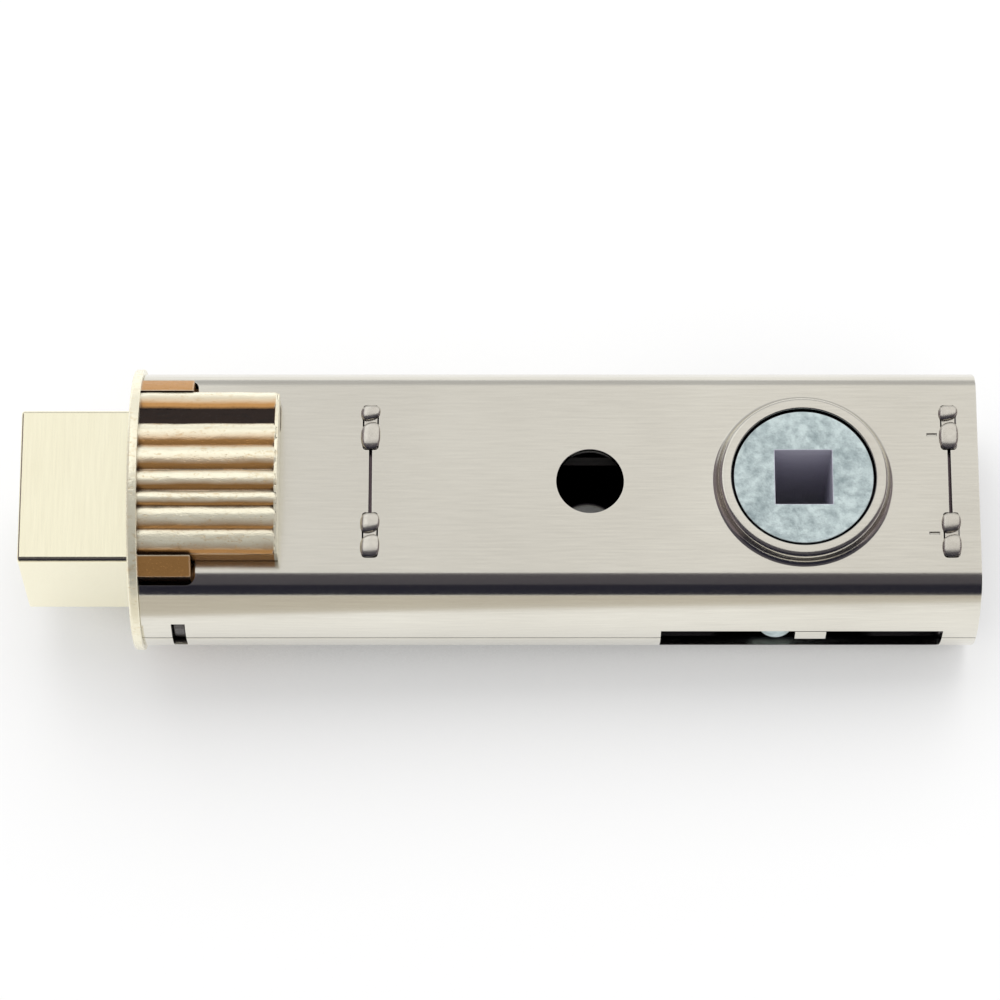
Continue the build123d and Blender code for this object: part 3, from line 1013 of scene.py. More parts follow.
@dataclass
class Case:
    """Tube of two pressed half shells with flats, rims for the hub and slots for the stakes."""

    sheet: float = 0.8
    bend_radius: float = 2.4
    across_flats: float = 15.0
    spindle: float = SPINDLE
    rim_bore: float = 12.9
    rim_wall: float = 1.15
    rim_edge: float = 0.5
    rim_root: float = 0.7
    rim_lip: float = 0.12
    rim_sink: float = 0.03
    rim_lap: float = 0.8
    rim_lift: float = 0.02
    seam_edge: float = 0.18
    hole_place: float = 41.0
    hole_diameter: float = 6.0
    slot_length: float = 25.2
    slot_span: tuple[float, float] = (-4.4, 1.55)
    notch_end: float = 5.9
    notch_half_width: float = 9.7
    notch_corner: float = 0.8
    nib_span: tuple[float, float] = (3.6, 4.8)
    nib_width: float = 5.6
    tab_span: tuple[float, float] = (59.4, 62.2)
    tab_reach: float = 0.35
    tab_inset: float = 0.05
    stake_spacing: float = 10.2
    stake_gap: float = 0.1
    stake_corner: float = 0.3
    slit_width: float = 0.25
    lance_places: tuple[tuple[float, float], ...] = ((71.6, 4.43), (71.6, -4.93))
    lance_size: tuple[float, float, float] = (0.9, 0.2, 0.1)
    edge: float = 0.07

    def __post_init__(self) -> None:
        """Takes the length, radius, rim height and stake places from the frame."""
        low, high = box_mm("front_shell")
        self.start, self.end = low.x, high.x
        self.radius = high.y
        self.flat = self.across_flats / 2
        self.rim_top = high.z
        plates = [box_mm("front_guide_plate"), box_mm("rear_end_plate")]
        self.plate_places = [(low.x + high.x) / 2 for low, high in plates]
        self.plate_thickness = plates[0][1].x - plates[0][0].x

    def arch(self, inset: float) -> Outline:
        """Draws the upper half of the section: round side, bend, flat, bend and round side.

        Args:
            inset: How far inside the outer skin it is drawn.

        Returns:
            Points in Y and Z, from the seam at +Y to the seam at -Y.
        """
        center_z = self.flat - self.bend_radius
        center_y = math.sqrt((self.radius - self.bend_radius) ** 2 - center_z ** 2)
        meet = math.degrees(math.atan2(center_z, center_y))
        half = arc((0, 0), self.radius - inset, 0, meet, 40)
        if inset == 0:
            round_over = self.seam_edge
            lift = math.degrees(math.asin(round_over / self.radius))
            half = arc((self.radius - round_over, round_over), round_over, -90, 0, 6)
            half += arc((0, 0), self.radius, lift, meet, 40)[1:]
        half += arc((center_y, center_z), self.bend_radius - inset, meet, 90, 28)[1:]
        return half + [(-y, z) for y, z in reversed(half)]

    def section(self, inset: float) -> Outline:
        """Draws the whole section of the tube, inside its outer skin by the inset."""
        upper = self.arch(inset)
        return upper + [(y, -z) for y, z in reversed(upper)][1:-1]

    def rim(self, side: Side) -> Shape:
        """Makes the drawn rim round the hub, sunk a little into the flat it grows from.

        Args:
            side: Which flat.

        Returns:
            The shape, with its bore.
        """
        inner = self.rim_bore / 2
        outer = inner + self.rim_wall
        lap = inner + self.rim_wall * self.rim_lap
        root_place = (outer + self.rim_root, self.flat + self.rim_root - self.rim_sink)
        root = arc(root_place, self.rim_root, 270, 180, 8)
        crown = arc((outer - self.rim_edge, self.rim_top - self.rim_edge), self.rim_edge, 0, 90, 10)
        lip = arc((inner + self.rim_lip, self.rim_top - self.rim_lip), self.rim_lip, 90, 180, 5)
        under, below = self.flat - self.sheet / 2, self.flat - self.sheet + self.rim_lift
        profile = [(inner, below), (lap, below), (lap, under), (root[0][0], under)] + root + crown + lip
        return turned([(r, side.value * h) for r, h in profile], Axis.SPINDLE, self.spindle)

    def cutters(self) -> list[Shape]:
        """Gives the tools for every opening that both halves have.

        Returns:
            The tools.
        """
        far = (-REACH, REACH)
        wide = self.notch_half_width
        slot = (self.spindle - self.slot_length / 2, self.spindle + self.slot_length / 2)
        tools = [
            rod(self.hole_diameter / 2, -REACH, REACH, self.hole_place, steps=128),
            pillar(rounded((-REACH, self.notch_end), (-wide, wide), self.notch_corner), *far),
            block(slot, far, self.slot_span),
            block(self.nib_span, far, (-self.nib_width / 2, self.nib_width / 2)),
        ]
        length, width, depth = self.lance_size
        for x, y in self.lance_places:
            for side in Side:
                deep = (side.value * (self.flat - depth), side.value * REACH)
                tools.append(block((x - length / 2, x + length / 2), (y - width / 2, y + width / 2), deep))
        return tools

    def stake_cutters(self, stake_width: float) -> list[Shape]:
        """Gives the tools for the stake slots and the slits between them.

        Args:
            stake_width: Width of one stake along Y.

        Returns:
            The tools.
        """
        tools = []
        half_x = self.plate_thickness / 2 + self.stake_gap
        half_y = stake_width / 2 + self.stake_gap
        for place in self.plate_places:
            slit = (place - self.slit_width / 2, place + self.slit_width / 2)
            tools.append(block(slit, (-self.stake_spacing / 2, self.stake_spacing / 2), (-REACH, REACH)))
            for row in (-1, 1):
                middle = row * self.stake_spacing / 2
                along, across = (place - half_x, place + half_x), (middle - half_y, middle + half_y)
                tools.append(pillar(rounded(along, across, self.stake_corner), -REACH, REACH))
        return tools

    def half(self, side: Side, stake_width: float) -> bpy.types.Object:
        """Builds one half shell.

        Args:
            side: Which half.
            stake_width: Width of one stake along Y.

        Returns:
            The finished half.
        """
        outline = [(y, side.value * z) for y, z in self.arch(0) + self.arch(self.sheet)[::-1]]
        node = "front_shell" if side is Side.FRONT else "back_shell"
        shell = Workpiece(node + "_pressing", prism(outline, self.start, self.end))
        shell.cut(rod(self.rim_bore / 2 + self.rim_wall / 2, -REACH, REACH, self.spindle, steps=192))
        shell.join(self.rim(side))
        shell.cut(*self.cutters(), *self.stake_cutters(stake_width))
        if side is Side.FRONT:
            shell.join(self.stop_tab())
        shell.soften(self.edge)
        return shell.finish(Body.CASE, CASE_NICKEL, (node,))

    def stop_tab(self) -> Shape:
        """Makes the tab in the lower seam that the hub's heel meets.

        Returns:
            The shape.
        """
        tab = Workpiece("tab", prism(self.section(self.tab_inset), *self.tab_span))
        tab.cut(prism(self.section(self.sheet - self.tab_inset), -REACH, REACH))
        tab.keep(block((-REACH, REACH), (-REACH, 0), (-self.tab_reach, self.slot_span[1] + self.sheet)))
        return tab.lift_off()

    def build(self, stake_width: float) -> None:
        """Builds both halves."""
        for side in Side:
            self.half(side, stake_width)


@dataclass
class Collar:
    """Drive-in die casting: flange, block in the case's notch, knurled lobes and tongues."""

    flange_thickness: float = 0.9
    flange_edge: float = 0.3
    crest_radius: float = 12.5
    block_length: float = 5.6
    block_half_width: float = 9.3
    lobe_half_width: float = 7.56
    block_groove: float = 0.2
    lobe_foot: float = 7.6
    ridge_rows: tuple[tuple[float, float], ...] = (
        (34.6, 1.35), (14.0, 1.25), (2.9, 1.2), (-7.0, 0.95), (-15.1, 0.72), (-23.4, 1.12), (-33.2, 1.2))
    ridge_radius: float = 1.2
    ridge_end: float = 0.4
    ridge_spread: float = 0.06
    ridge_waviness: float = 0.14
    wave_stretch: tuple[float, float, float] = (0.35, 0.9, 0.9)
    wave_top: float = 0.75
    lobe_depth: float = 0.5
    lip_depth: float = 0.24
    lip_length: float = 0.34
    tongue_length: float = 12.0
    tongue_gap: float = 0.1
    tongue_root: float = 0.4
    core_root: float = 0.45
    core_short: float = 0.01
    block_root: float = 0.5
    core_radius: float = 11.35
    window_half_height: float = 7.4
    window_half_depth: float = 6.7
    nib_span: tuple[float, float] = (3.7, 4.7)
    nib_half_width: float = 2.7
    nib_radius: float = 11.6
    edge: float = 0.1
    edge_angle: float = 50.0
    seed: int = 7

    def __post_init__(self) -> None:
        """Takes the flange's radius and the collar's length from the frame."""
        low, high = box_mm("front_collar")
        self.flange_radius = high.y
        self.length = high.x

    def ridge_places(self) -> bpy.types.Mesh:
        """Lists the crest line of each ridge of one lobe, with its turn and its size.

        Returns:
            A mesh of points on the crests.
        """
        crest = self.crest_radius
        turns = [math.radians(turn) for turn, _ in self.ridge_rows]
        places = [(0, crest * math.sin(turn), crest * math.cos(turn)) for turn in turns]
        radii = [(half ** 2 + self.lobe_depth ** 2) / (2 * self.lobe_depth) for _, half in self.ridge_rows]
        mesh = bpy.data.meshes.new("ridge_places")
        mesh.from_pydata(places, [], [])
        for label, values in (("ridge_turn", [-turn for turn in turns]),
                              ("ridge_size", [radius / self.ridge_radius for radius in radii])):
            attribute = mesh.attributes.new(label, "FLOAT", "POINT")
            attribute.data.foreach_set("value", values)
        return mesh

    def ridges(self) -> Shape:
        """Lays the knurl's ridges round both lobes.

        Returns:
            The ridges as closed bars, sunk into the lobes.
        """
        knurl = NodesModifier("knurl_ridges")
        nodes = knurl.nodes
        sizes = {"Ridge Radius": self.ridge_radius, "Length": self.length, "End Rounding": self.ridge_end,
                 "Spread": self.ridge_spread, "Waviness": self.ridge_waviness, "Seed": self.seed,
                 "Material": COLLAR_BRASS.material()}
        given = knurl.take(sizes)

        start = (self.flange_thickness / 2, 0, 0)
        end = nodes.vector(X=given["Length"])
        line = nodes.add("GeometryNodeCurvePrimitiveLine", {"Start": start, "End": end})
        path = nodes.add("GeometryNodeResampleCurve", {"Curve": line.outputs[0], "Count": 96})
        along = nodes.add("GeometryNodeSplineParameter").outputs["Length"]
        total = nodes.add("GeometryNodeSplineLength").outputs["Length"]
        to_end = nodes.math("DIVIDE", nodes.math("SUBTRACT", total, along), given["End Rounding"])
        missing = nodes.inverse(nodes.math("MINIMUM", to_end, 1.0))
        squared = nodes.inverse(nodes.math("MULTIPLY", missing, missing))
        fall = nodes.inverse(nodes.math("SQRT", nodes.math("MAXIMUM", squared, 0.0)))
        shrunk = nodes.math("MULTIPLY", fall, given["End Rounding"])
        size = nodes.math("SUBTRACT", given["Ridge Radius"], shrunk)
        profile = nodes.add("GeometryNodeCurvePrimitiveCircle", {"Resolution": 40, "Radius": 1.0})
        bar = nodes.add("GeometryNodeCurveToMesh", {
            "Curve": path.outputs[0], "Profile Curve": profile.outputs[0], "Scale": size,
            "Fill Caps": True})
        sunk = nodes.vector(Z=nodes.math("MULTIPLY", given["Ridge Radius"], -1.0))
        lifted = nodes.add("GeometryNodeTransform", {"Geometry": bar.outputs[0], "Translation": sunk})

        turn, wide = (nodes.attribute(label, "FLOAT") for label in ("ridge_turn", "ridge_size"))
        uneven = nodes.add("FunctionNodeRandomValue", {
            2: nodes.inverse(given["Spread"]), 3: 1.0, "Seed": given["Seed"]})
        across = nodes.math("MULTIPLY", uneven.outputs[1], wide)
        lobe = nodes.add("GeometryNodeInstanceOnPoints", {
            "Points": given["Geometry"], "Instance": lifted.outputs[0], "Rotation": nodes.vector(X=turn),
            "Scale": nodes.vector(X=1.0, Y=across, Z=across)}).outputs[0]
        opposite = nodes.add("GeometryNodeTransform", {"Geometry": lobe, "Rotation": (math.pi, 0, 0)})
        both = nodes.add("GeometryNodeJoinGeometry", {0: lobe})
        knurl.tree.links.new(opposite.outputs[0], both.inputs[0])
        solid = nodes.add("GeometryNodeRealizeInstances", {0: both.outputs[0]})
        place = nodes.add("GeometryNodeInputPosition").outputs[0]
        where = nodes.add("ShaderNodeVectorMath", {0: place, 1: self.wave_stretch}, operation="MULTIPLY")
        waves = nodes.add("ShaderNodeTexNoise", {"Vector": where.outputs[0], "Scale": 0.9, "Detail": 3.0})
        below = nodes.math("SUBTRACT", waves.outputs[0], self.wave_top)
        dent = nodes.math("MULTIPLY", below, given["Waviness"])
        normal = nodes.add("GeometryNodeInputNormal").outputs[0]
        offset = nodes.add("ShaderNodeVectorMath", {0: normal, "Scale": dent}, operation="SCALE")
        worn = nodes.add("GeometryNodeSetPosition", {
            "Geometry": solid.outputs[0], "Offset": offset.outputs[0]})
        knurl.close(worn.outputs[0], given["Material"])
        return knurl.bake("ridges", self.ridge_places()).lift_off()

    def lobe(self, side: Side, depth: float, start: float, end: float) -> Shape:
        """Makes the body of one lobe over a flat, or the lip at its end.

        Args:
            side: Which flat.
            depth: How far its top lies below the crests.
            start: Its front end along X.
            end: Its rear end along X.

        Returns:
            The shape.
        """
        radius = self.crest_radius - depth
        spread = math.degrees(math.asin(self.lobe_half_width / radius))
        top = arc((0, 0), radius, 90 - spread, 90 + spread, 48)
        outline = [(top[0][0], self.lobe_foot)] + top + [(top[-1][0], self.lobe_foot)]
        return prism([(y, side.value * z) for y, z in outline], start, end)

    def blocks(self) -> list[Shape]:
        """Makes the blocks beside the lobes, which fill the notch in the case.

        Returns:
            The two shapes.
        """
        crest = self.crest_radius
        inner, outer = (math.degrees(math.acos(place / crest))
                        for place in (self.lobe_half_width + self.block_groove, self.block_half_width))
        outline = arc((0, 0), crest, outer, inner, 9) + arc((0, 0), crest, -inner, -outer, 9)
        return [prism([(mirror * y, z) for y, z in outline], self.block_root, self.block_length)
                for mirror in (1, -1)]

    def build(self, case: Case) -> None:
        """Builds the casting.

        Args:
            case: The case that its tongues fit.
        """
        rim = arc((self.flange_radius - self.flange_edge, self.flange_edge), self.flange_edge, -90, 0, 8)
        inner = self.window_half_depth / 2
        back = self.flange_thickness
        disc = [(inner, 0)] + rim + [(self.flange_radius, back), (inner, back)]
        collar = Workpiece("front_collar_casting", turned(disc, Axis.CASE))
        nibs = Workpiece("nibs", prism(circle(self.nib_radius), *self.nib_span))
        nibs.keep(block((-REACH, REACH), (-REACH, REACH), (-self.nib_half_width, self.nib_half_width)))
        core = prism(circle(self.core_radius), self.core_root, self.block_length - self.core_short)
        tongues = prism(case.section(case.sheet + self.tongue_gap), self.tongue_root, self.tongue_length)
        collar.join(core, tongues, nibs.lift_off(), *self.blocks())
        lip = self.length - self.lip_length
        for side in Side:
            collar.join(self.lobe(side, self.lobe_depth, back / 2, lip + self.lip_length / 2),
                        self.lobe(side, self.lip_depth, lip, self.length))
        collar.combine(Joining.JOIN, (self.ridges(),), crossing=True)
        tall, deep = self.window_half_height, self.window_half_depth
        collar.cut(block((-REACH, REACH), (-tall, tall), (-deep, deep)))
        collar.soften(self.edge, segments=3, angle=self.edge_angle)
        collar.finish(Body.CASE, COLLAR_BRASS, ("front_collar",))


@dataclass
class Bolt:
    """Square-ended bolt with its tail, rivets and detent leaf."""

    edge: float = 0.45
    nose_edge: float = 0.25
    seat_depth: float = 9.0
    seat_half_height: float = 4.1
    seat_half_width: float = 1.05
    rivet_clearance: float = 0.02

    def build(self) -> None:
        """Builds the bolt and dresses the pieces that it carries."""
        low, high = box_mm("bolt_head")
        shape = block((low.x, high.x), (low.y, high.y), (low.z, high.z))
        sides = [edge for edge in shape.edges if abs(edge.verts[0].co.x - edge.verts[1].co.x) > self.edge]
        bmesh.ops.bevel(shape, geom=sides, offset=self.edge, segments=6, affect="EDGES", profile=0.5)
        nose_end = low.x + self.nose_edge
        nose = [edge for edge in shape.edges if all(vert.co.x < nose_end for vert in edge.verts)]
        bmesh.ops.bevel(shape, geom=nose, offset=self.nose_edge, segments=4, affect="EDGES", profile=0.5)
        head = Workpiece("bolt_head_bar", shape)
        head.cut(block((high.x - self.seat_depth, REACH), (-self.seat_half_height, self.seat_half_height),
                       (-self.seat_half_width, self.seat_half_width)))
        near, far = box_mm("tail_rivets")
        radius = (far.y - near.y) / 2
        for place in (near.x + radius, far.x - radius):
            head.cut(rod(radius + self.rivet_clearance, -REACH, REACH, place, steps=48))
        head.finish(Body.BOLT, BOLT_BRASS, ("bolt_head",))
        for node in ("tail_bar", "tail_rivets", "detent_spring"):
            dress_node(node, INNER_STEEL)


@dataclass
class Hub:
    """Cast hub with a square hole, a drive arm and a heel."""

    spindle: float = SPINDLE
    journal_radius: float = 6.37
    face_step: float = 0.15
    step_depth: float = 0.9
    shoulder: float = 0.9
    shoulder_half: float = 6.5
    core_radius: float = 4.256
    web_half: float = 1.4
    square: float = 5.1
    arm_angle: float = 135.0
    arm_radius: float = 7.283
    arm_half_width: float = 0.8
    arm_half_depth: float = 1.38
    arm_tip: float = 1.6
    heel_angle: float = -102.65
    heel_reach: float = 12.1
    heel_half_width: float = 1.75
    heel_half_thickness: float = 1.0
    finger_root: float = 1.0
    edge: float = 0.06

    def finger(self, reach: float, half_width: float, tip: float, half_depth: float, angle: float) -> Shape:
        """Makes a finger that stands out from the core with a round tip.

        Args:
            reach: Spindle axis to the centre of the tip.
            half_width: Half its width.
            tip: Radius of the tip.
            half_depth: Half its depth along Z.
            angle: Direction in degrees from +X.

        Returns:
            The shape.
        """
        across, deep = (-half_width, half_width), (-half_depth, half_depth)
        bar = Workpiece("bar", block((self.finger_root, reach), across, deep))
        shape = bar.join(rod(tip, *deep, reach, steps=64)).lift_off()
        turn = Matrix.Translation((self.spindle, 0, 0)) @ Matrix.Rotation(math.radians(angle), 4, "Z")
        bmesh.ops.transform(shape, matrix=turn, verts=shape.verts)
        return shape

    def build(self) -> None:
        """Builds the hub."""
        face = box_mm("hub")[1].z
        wide = self.journal_radius + self.shoulder
        upper = [(self.core_radius, self.web_half), (wide, self.web_half), (wide, self.shoulder_half),
                 (self.journal_radius, self.shoulder_half), (self.journal_radius, face - self.step_depth),
                 (self.journal_radius - self.face_step, face - self.step_depth),
                 (self.journal_radius - self.face_step, face), (self.square / 4, face)]
        profile = [(r, -h) for r, h in reversed(upper)] + upper
        hub = Workpiece("hub_casting", turned(profile, Axis.SPINDLE, self.spindle))
        heel = self.heel_reach - self.heel_half_width
        hub.join(self.finger(self.arm_radius, self.arm_half_width, self.arm_tip, self.arm_half_depth,
                             self.arm_angle),
                 self.finger(heel, self.heel_half_width, self.heel_half_width, self.heel_half_thickness,
                             self.heel_angle))
        half = self.square / 2
        hub.cut(block((self.spindle - half, self.spindle + half), (-half, half), (-REACH, REACH)))
        hub.level().soften(self.edge)
        hub.finish(Body.HUB, HUB_ZINC, ("hub",))


@dataclass
class Bulkheads:
    """Two plates across the case, with tabs staked over the flats."""

    case: Case
    inset: float = 0.9
    stake_width: float = 4.0
    stake_proud: float = 0.2
    lobe_proud: float = 0.36
    chisel_offsets: tuple[tuple[int, float], ...] = ((1, 0.65), (-1, 0.15))
    chisel_gap: float = 0.45
    chisel_depth: float = 0.3
    chisel_lean: float = 14.0
    tail_room: tuple[float, float] = (4.2, 1.15)
    leaf_slit: tuple[float, float, float] = (9.97, 10.57, 2.1)
    crease: float = 0.2
    lobe_fill: float = 0.74
    lobe_stretch: float = 0.42
    edge: float = 0.08

    def plate(self, node: str, place: float) -> None:
        """Builds one plate below its stakes.

        Args:
            node: The node that it stands for.
            place: Its middle along X.
        """
        half = self.case.plate_thickness / 2
        plate = Workpiece(node + "_blank", prism(self.case.section(self.inset), place - half, place + half))
        neck = self.case.flat + self.stake_proud - self.chisel_depth
        for row in (-1, 1):
            middle = row * self.case.stake_spacing / 2
            across = (middle - self.stake_width / 2, middle + self.stake_width / 2)
            plate.join(block((place - half, place + half), across, (-neck, neck)))
        if node == "front_guide_plate":
            tall, deep = self.tail_room
            low, high, wide = self.leaf_slit
            plate.cut(block((-REACH, REACH), (-tall, tall), (-deep, deep)),
                      block((-REACH, REACH), (low, high), (-wide, wide)))
        plate.soften(self.edge)
        plate.finish(Body.CASE, PLATE_STEEL, (node,))

    def tabs(self, row: int) -> bpy.types.Mesh:
        """Lists the places of the staked tabs in one row, one to a plate on each flat.

        Args:
            row: 1 for the row at +Y and -1 for the row at -Y.

        Returns:
            A mesh of points with the side that each tab faces.
        """
        places, sides = [], []
        for place in self.case.plate_places:
            for side in Side:
                places.append((place, row * self.case.stake_spacing / 2, side.value * self.case.flat))
                sides.append((1.0, 1.0, float(side.value)))
        mesh = bpy.data.meshes.new("tab_places")
        mesh.from_pydata(places, [], [])
        attribute = mesh.attributes.new("tab_side", "FLOAT_VECTOR", "POINT")
        for item, side in zip(attribute.data, sides):
            item.vector = side
        return mesh

    def stake_row(self, row: int, offset: float) -> Shape:
        """Sets a tab on each place of a row: two rounded lobes, split by a slanting chisel cut.

        Args:
            row: 1 for the row at +Y and -1 for the row at -Y.
            offset: Place of the cut along Y, from the tab's middle.

        Returns:
            The lobes.
        """
        half, cut = self.stake_width / 2, self.chisel_gap / 2
        staking = NodesModifier(f"staked_lobes_{row}")
        nodes = staking.nodes
        fill = self.lobe_stretch
        sizes = {"Thickness": self.case.plate_thickness + self.lobe_fill, "Proud": self.lobe_proud,
                 "Root": self.case.sheet / 2,
                 "Short Length": half - offset - cut + fill, "Short Middle": (half + offset + cut) / 2,
                 "Long Length": half + offset - cut + fill, "Long Middle": (offset - cut - half) / 2,
                 "Slope": math.tan(math.radians(self.chisel_lean)), "Crease": self.crease, "Levels": 3,
                 "Material": PLATE_STEEL.material()}
        given = staking.take(sizes)
        depth = nodes.math("ADD", given["Proud"], given["Root"])
        height = nodes.math("SUBTRACT", given["Proud"], nodes.math("DIVIDE", depth, 2.0))
        here = nodes.split(nodes.add("GeometryNodeInputPosition").outputs[0])
        slant = nodes.vector(Y=nodes.math("MULTIPLY", here["X"], given["Slope"]))
        tab = nodes.add("GeometryNodeJoinGeometry")
        for label, near_cut in (("Short", "LESS_THAN"), ("Long", "GREATER_THAN")):
            length, middle = given[label + " Length"], given[label + " Middle"]
            size = nodes.vector(X=given["Thickness"], Y=length, Z=depth)
            cube = nodes.add("GeometryNodeMeshCube", {"Size": size})
            placed = nodes.add("GeometryNodeTransform", {
                "Geometry": cube.outputs[0], "Translation": nodes.vector(Y=middle, Z=height)})
            at_cut = nodes.math(near_cut, here["Y"], middle)
            leaned = nodes.add("GeometryNodeSetPosition", {
                "Geometry": placed.outputs[0], "Selection": at_cut, "Offset": slant})
            soft = nodes.add("GeometryNodeSubdivisionSurface", {
                "Mesh": leaned.outputs[0], "Level": given["Levels"], "Edge Crease": given["Crease"]})
            staking.tree.links.new(soft.outputs[0], tab.inputs[0])
        side = nodes.attribute("tab_side", "FLOAT_VECTOR")
        tabs = nodes.add("GeometryNodeInstanceOnPoints", {
            "Points": given["Geometry"], "Instance": tab.outputs[0], "Scale": side})
        staking.close(tabs.outputs[0], given["Material"])
        return staking.bake("stake_row", self.tabs(row)).lift_off()

    def stakes(self) -> None:
        """Builds the lobes of both rows as one piece."""
        upper, lower = (self.stake_row(row, offset) for row, offset in self.chisel_offsets)
        Workpiece("staked_lobes", upper).join(lower).finish(Body.CASE, PLATE_STEEL, ())

    def build(self) -> None:
        """Builds both plates and their stakes."""
        for node, place in zip(("front_guide_plate", "rear_end_plate"), self.case.plate_places):
            self.plate(node, place)
        self.stakes()


def dress_node(node: str, finish: Finish) -> None:
    """Gives a node of the frame its finish.

    Args:
        node: Name of the node.
        finish: Its finish.
    """
    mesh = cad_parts[node].data
    mesh.materials.clear()
    mesh.materials.append(finish.material())
    log.info("%s: carried over, %s", node, finish.name)


@dataclass(frozen=True)
class Hood:
    """A card bent over the latch: its edges in degrees from straight above towards -Y, and its tones."""

    name: str
    span: tuple[float, float]
    tone: Colour
    tail_tone: Colour | None = None
    start: float = -500.0


@dataclass
class Studio:
    """White floor, soft light, cards that only the metal mirrors, and the camera."""

    case: Case
    tilt: float = 20.0
    distance: float = 450.0
    lens: float = 178.8
    aim: tuple[float, float, float] = (32.97, 0.83, 0.30)
    flange_back: float = 0.9
    floor_half: float = 3000.0
    floor_share: float = 0.6
    mirrored_share: float = 0.85
    contact_reach: float = 30.0
    shadow_floor: float = 0.025
    paper_open: float = 0.4
    paper_tones: tuple[float, float] = (0.1, 0.9)
    ambient: float = 0.75
    lamp_height: float = 700.0
    lamp_lean: float = 28.0
    lamp_size: float = 600.0
    lamp_power: float = 3.0
    card_radius: float = 300.0
    card_half: float = 500.0
    card_grade: tuple[float, float] = (0.0, 70.0)
    end_distance: float = 420.0
    end_height: float = 600.0
    apron: tuple[float, float, float] = (-300.0, -37.0, -58.0)
    apron_lift: float = 0.4
    apron_tone: Colour = (0.61, 0.57, 0.5)
    end_tone: Colour = (0.2, 0.17, 0.19)
    hoods: tuple[Hood, ...] = (
        Hood("overhead_card", (-62.0, -8.0), (0.765, 0.755, 0.75), (0.87, 0.86, 0.85), start=-12.0),
        Hood("grey_card", (-6.0, 42.0), (0.085, 0.08, 0.095)),
        Hood("dark_card", (42.0, 90.0), (0.022, 0.022, 0.035)),
        Hood("rear_card", (-96.0, -62.0), (0.55, 0.55, 0.56)))

    def __post_init__(self) -> None:
        """Works out the floor's slope: the latch rests on its flange and on the rear rim."""
        self.foot = box_mm("front_collar")[0].z
        rim = self.case.spindle + self.case.rim_bore / 2 + self.case.rim_wall - self.case.rim_edge
        self.slope = (-self.case.rim_top - self.foot) / (rim - self.flange_back)

    def on_floor(self, x: float, y: float, lift: float = 0.0) -> Vector:
        """Gives the point on the floor below a place, or a little above it."""
        return Vector((x, y, self.foot + self.slope * (x - self.flange_back) + lift))

    def is_seen(self, nodes: Nodes) -> Socket:
        """Tells the rays that show the surround from those that only light.

        Args:
            nodes: The surround's nodes.

        Returns:
            1 for rays from the camera or mirrored or passed on by a surface, else 0.
        """
        ray = nodes.add("ShaderNodeLightPath").outputs
        seen = nodes.math("MAXIMUM", ray["Is Camera Ray"], ray["Is Glossy Ray"])
        return nodes.math("MAXIMUM", seen, ray["Is Transmission Ray"])

    def world(self) -> None:
        """Makes a white surround that lights the object at a plain level."""
        world = bpy.data.worlds.new("surround")
        bpy.context.scene.world = world
        world.use_nodes = True
        world.node_tree.nodes.clear()
        nodes = Nodes(world.node_tree)
        strength = nodes.ramp(self.is_seen(nodes), 0.0, 1.0, self.ambient, 1.0)
        back = nodes.add("ShaderNodeBackground", {"Color": (1, 1, 1, 1), "Strength": strength})
        nodes.add("ShaderNodeOutputWorld", {"Surface": back.outputs[0]})

    def staged(self, name: str, shape: Shape) -> tuple[bpy.types.Object, Nodes]:
        """Sets up a stage object with an empty material.

        Args:
            name: Name of the object and its material.
            shape: Its shape in millimetres.

        Returns:
            The object and the nodes of its material.
        """
        thing = Workpiece(name, shape).part
        thing.data.transform(Matrix.Scale(MM, 4))
        made, nodes = empty_material(name)
        made.cycles.emission_sampling = "NONE"
        thing.data.materials.append(made)
        return thing, nodes

    def floor(self) -> None:
        """Lays the floor, white to the camera and to mirrors, with a painted contact shadow where the latch
        lies close.
        """
        far = self.floor_half
        corners = ((-far, -far), (far, -far), (far, far), (-far, far))
        nodes = self.staged("white_floor", sheet([self.on_floor(*corner) for corner in corners]))[1]
        # Painted contact shadow: ambient occlusion near the latch darkens both the paper and its white
        # glow.
        clear = nodes.add("ShaderNodeAmbientOcclusion", {"Distance": self.contact_reach * MM}, samples=8)
        tone = nodes.ramp(clear.outputs["AO"], 0.0, self.paper_open, *self.paper_tones)
        paper = nodes.add("ShaderNodeBsdfDiffuse", {"Color": tone})
        glow = nodes.add("ShaderNodeEmission", {"Color": (1, 1, 1, 1), "Strength": 1.0})
        ray = nodes.add("ShaderNodeLightPath").outputs
        mirrored = nodes.math("MULTIPLY", ray["Is Glossy Ray"], self.mirrored_share)
        looked_at = nodes.math("MAXIMUM", ray["Is Camera Ray"], ray["Is Transmission Ray"])
        direct = nodes.math("MULTIPLY", looked_at, self.floor_share)
        lit = nodes.math("MULTIPLY", nodes.math("MAXIMUM", direct, mirrored), clear.outputs["AO"])
        share = nodes.math("MAXIMUM", lit, self.shadow_floor)
        both = nodes.add("ShaderNodeMixShader", {0: share, 1: paper.outputs[0], 2: glow.outputs[0]})
        nodes.add("ShaderNodeOutputMaterial", {"Surface": both.outputs[0]})

    def bent(self, hood: Hood) -> Shape:
        """Bends a strip along the latch.

        Args:
            hood: The card that it is for.

        Returns:
            The open shape.
        """
        curve = arc((0, 0), self.card_radius, 90 + hood.span[0], 90 + hood.span[1], 24)
        shape = bmesh.new()
        rows = [[shape.verts.new((x, y, z)) for x in (hood.start, self.card_half)] for y, z in curve]
        for here, there in zip(rows, rows[1:]):
            shape.faces.new((*here, *reversed(there)))
        return shape

    def upright(self, x: float) -> Shape:
        """Stands a card across the latch's line, beyond one of its ends."""
        low, high, wide = self.foot, self.end_height, self.card_half
        return sheet([(x, -wide, low), (x, wide, low), (x, wide, high), (x, -wide, high)])

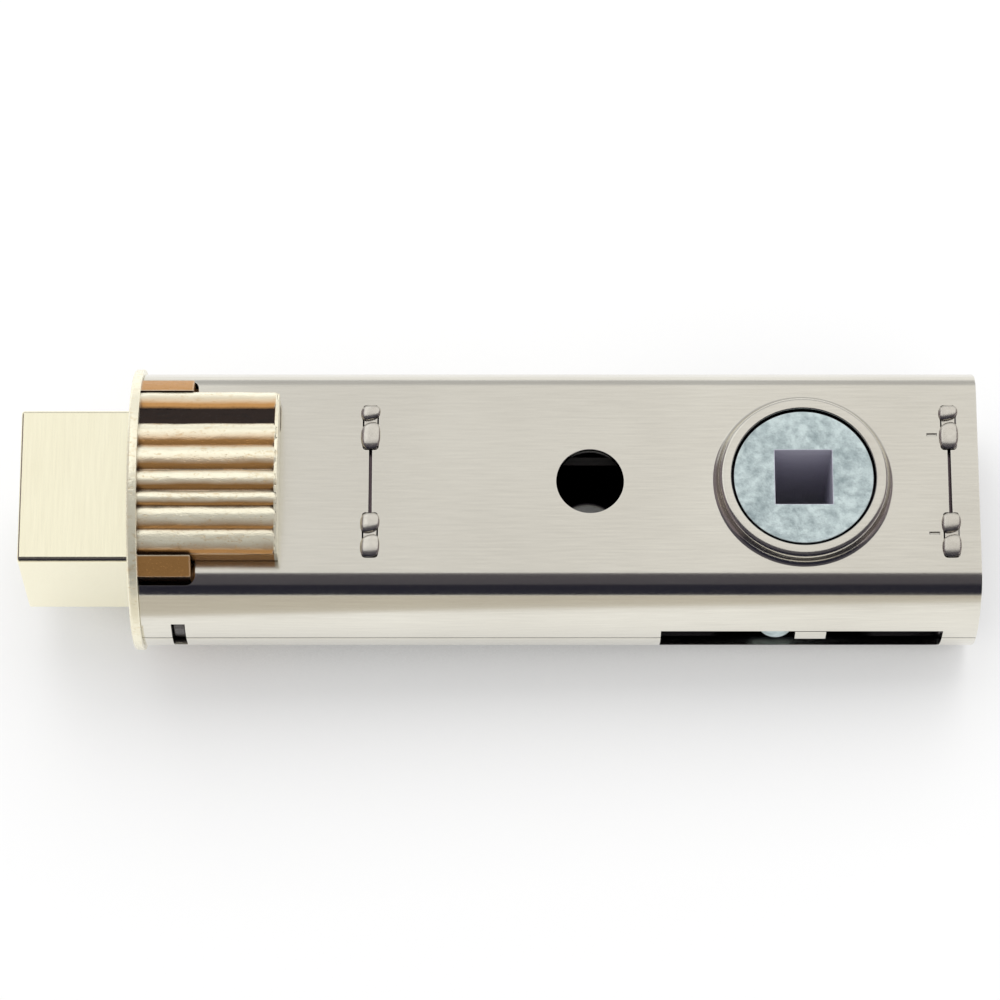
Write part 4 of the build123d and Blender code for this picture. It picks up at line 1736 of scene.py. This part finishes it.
    def strip(self) -> Shape:
        """Lays a card on the floor before the latch, with a slanting near edge.

        Returns:
            The open shape.
        """
        outer, near_front, near_tail = self.apron
        far = self.card_half
        places = ((-far, outer), (far, outer), (self.case.end, near_tail), (self.case.start, near_front),
                  (-far, near_front))
        return sheet([self.on_floor(x, y, self.apron_lift) for x, y in places])

    def card(self, name: str, shape: Shape, tone: Colour, tail_tone: Colour | None = None) -> None:
        """Hangs a card that only mirrors show.

        Args:
            name: Name of the card.
            shape: Its shape.
            tone: Its colour.
            tail_tone: Its colour towards the tail, where that differs.
        """
        card, nodes = self.staged(name, shape)
        colour: Any = (*tone, 1)
        if tail_tone:
            along = nodes.split(nodes.add("ShaderNodeTexCoord").outputs["Object"])["X"]
            start, end = self.card_grade
            colour = nodes.mix(nodes.ramp(along, start * MM, end * MM), tone, tail_tone)
        glow = nodes.add("ShaderNodeEmission", {"Color": colour, "Strength": 1.0})
        nodes.add("ShaderNodeOutputMaterial", {"Surface": glow.outputs[0]})
        card.visible_camera = False
        card.visible_diffuse = False
        card.visible_shadow = False
        card.visible_transmission = False

    def lamp(self) -> None:
        """Hangs a soft lamp above and behind the latch."""
        light = bpy.data.lights.new("softbox", "AREA")
        light.size = self.lamp_size * MM
        light.energy = self.lamp_power
        lamp = bpy.data.objects.new("softbox", light)
        lean = math.radians(self.lamp_lean)
        away = Vector((0, math.sin(lean), math.cos(lean)))
        lamp.location = (Vector(self.aim) + away * self.lamp_height) * MM
        lamp.rotation_euler = away.to_track_quat("Z", "Y").to_euler()
        lamp.visible_glossy = False
        bpy.context.scene.collection.objects.link(lamp)

    def camera(self) -> None:
        """Sets the camera where the photograph was taken from."""
        data = bpy.data.cameras.new("camera")
        data.lens = self.lens
        camera = bpy.data.objects.new("camera", data)
        tilt = math.radians(self.tilt)
        back = Vector((0, -math.sin(tilt), math.cos(tilt)))
        camera.location = (Vector(self.aim) + back * self.distance) * MM
        camera.rotation_euler = back.to_track_quat("Z", "Y").to_euler()
        bpy.context.scene.collection.objects.link(camera)
        bpy.context.scene.camera = camera

    def build(self) -> None:
        """Sets up the whole studio."""
        self.world()
        self.floor()
        for hood in self.hoods:
            self.card(hood.name, self.bent(hood), hood.tone, hood.tail_tone)
        self.card("apron_card", self.strip(), self.apron_tone)
        for name, away in (("front_card", -self.end_distance), ("tail_card", self.end_distance)):
            self.card(name, self.upright(self.aim[0] + away), self.end_tone)
        self.lamp()
        self.camera()
        bpy.context.scene.view_settings.view_transform = "Standard"


def main() -> None:
    """Builds the latch and the studio."""
    logging.basicConfig(level=logging.INFO, format="%(name)s: %(message)s")
    case = Case()
    bulkheads = Bulkheads(case)
    case.build(bulkheads.stake_width)
    Collar().build(case)
    Bolt().build()
    Hub().build()
    bulkheads.build()
    Studio(case).build()


if __name__ == "__main__":
    main()
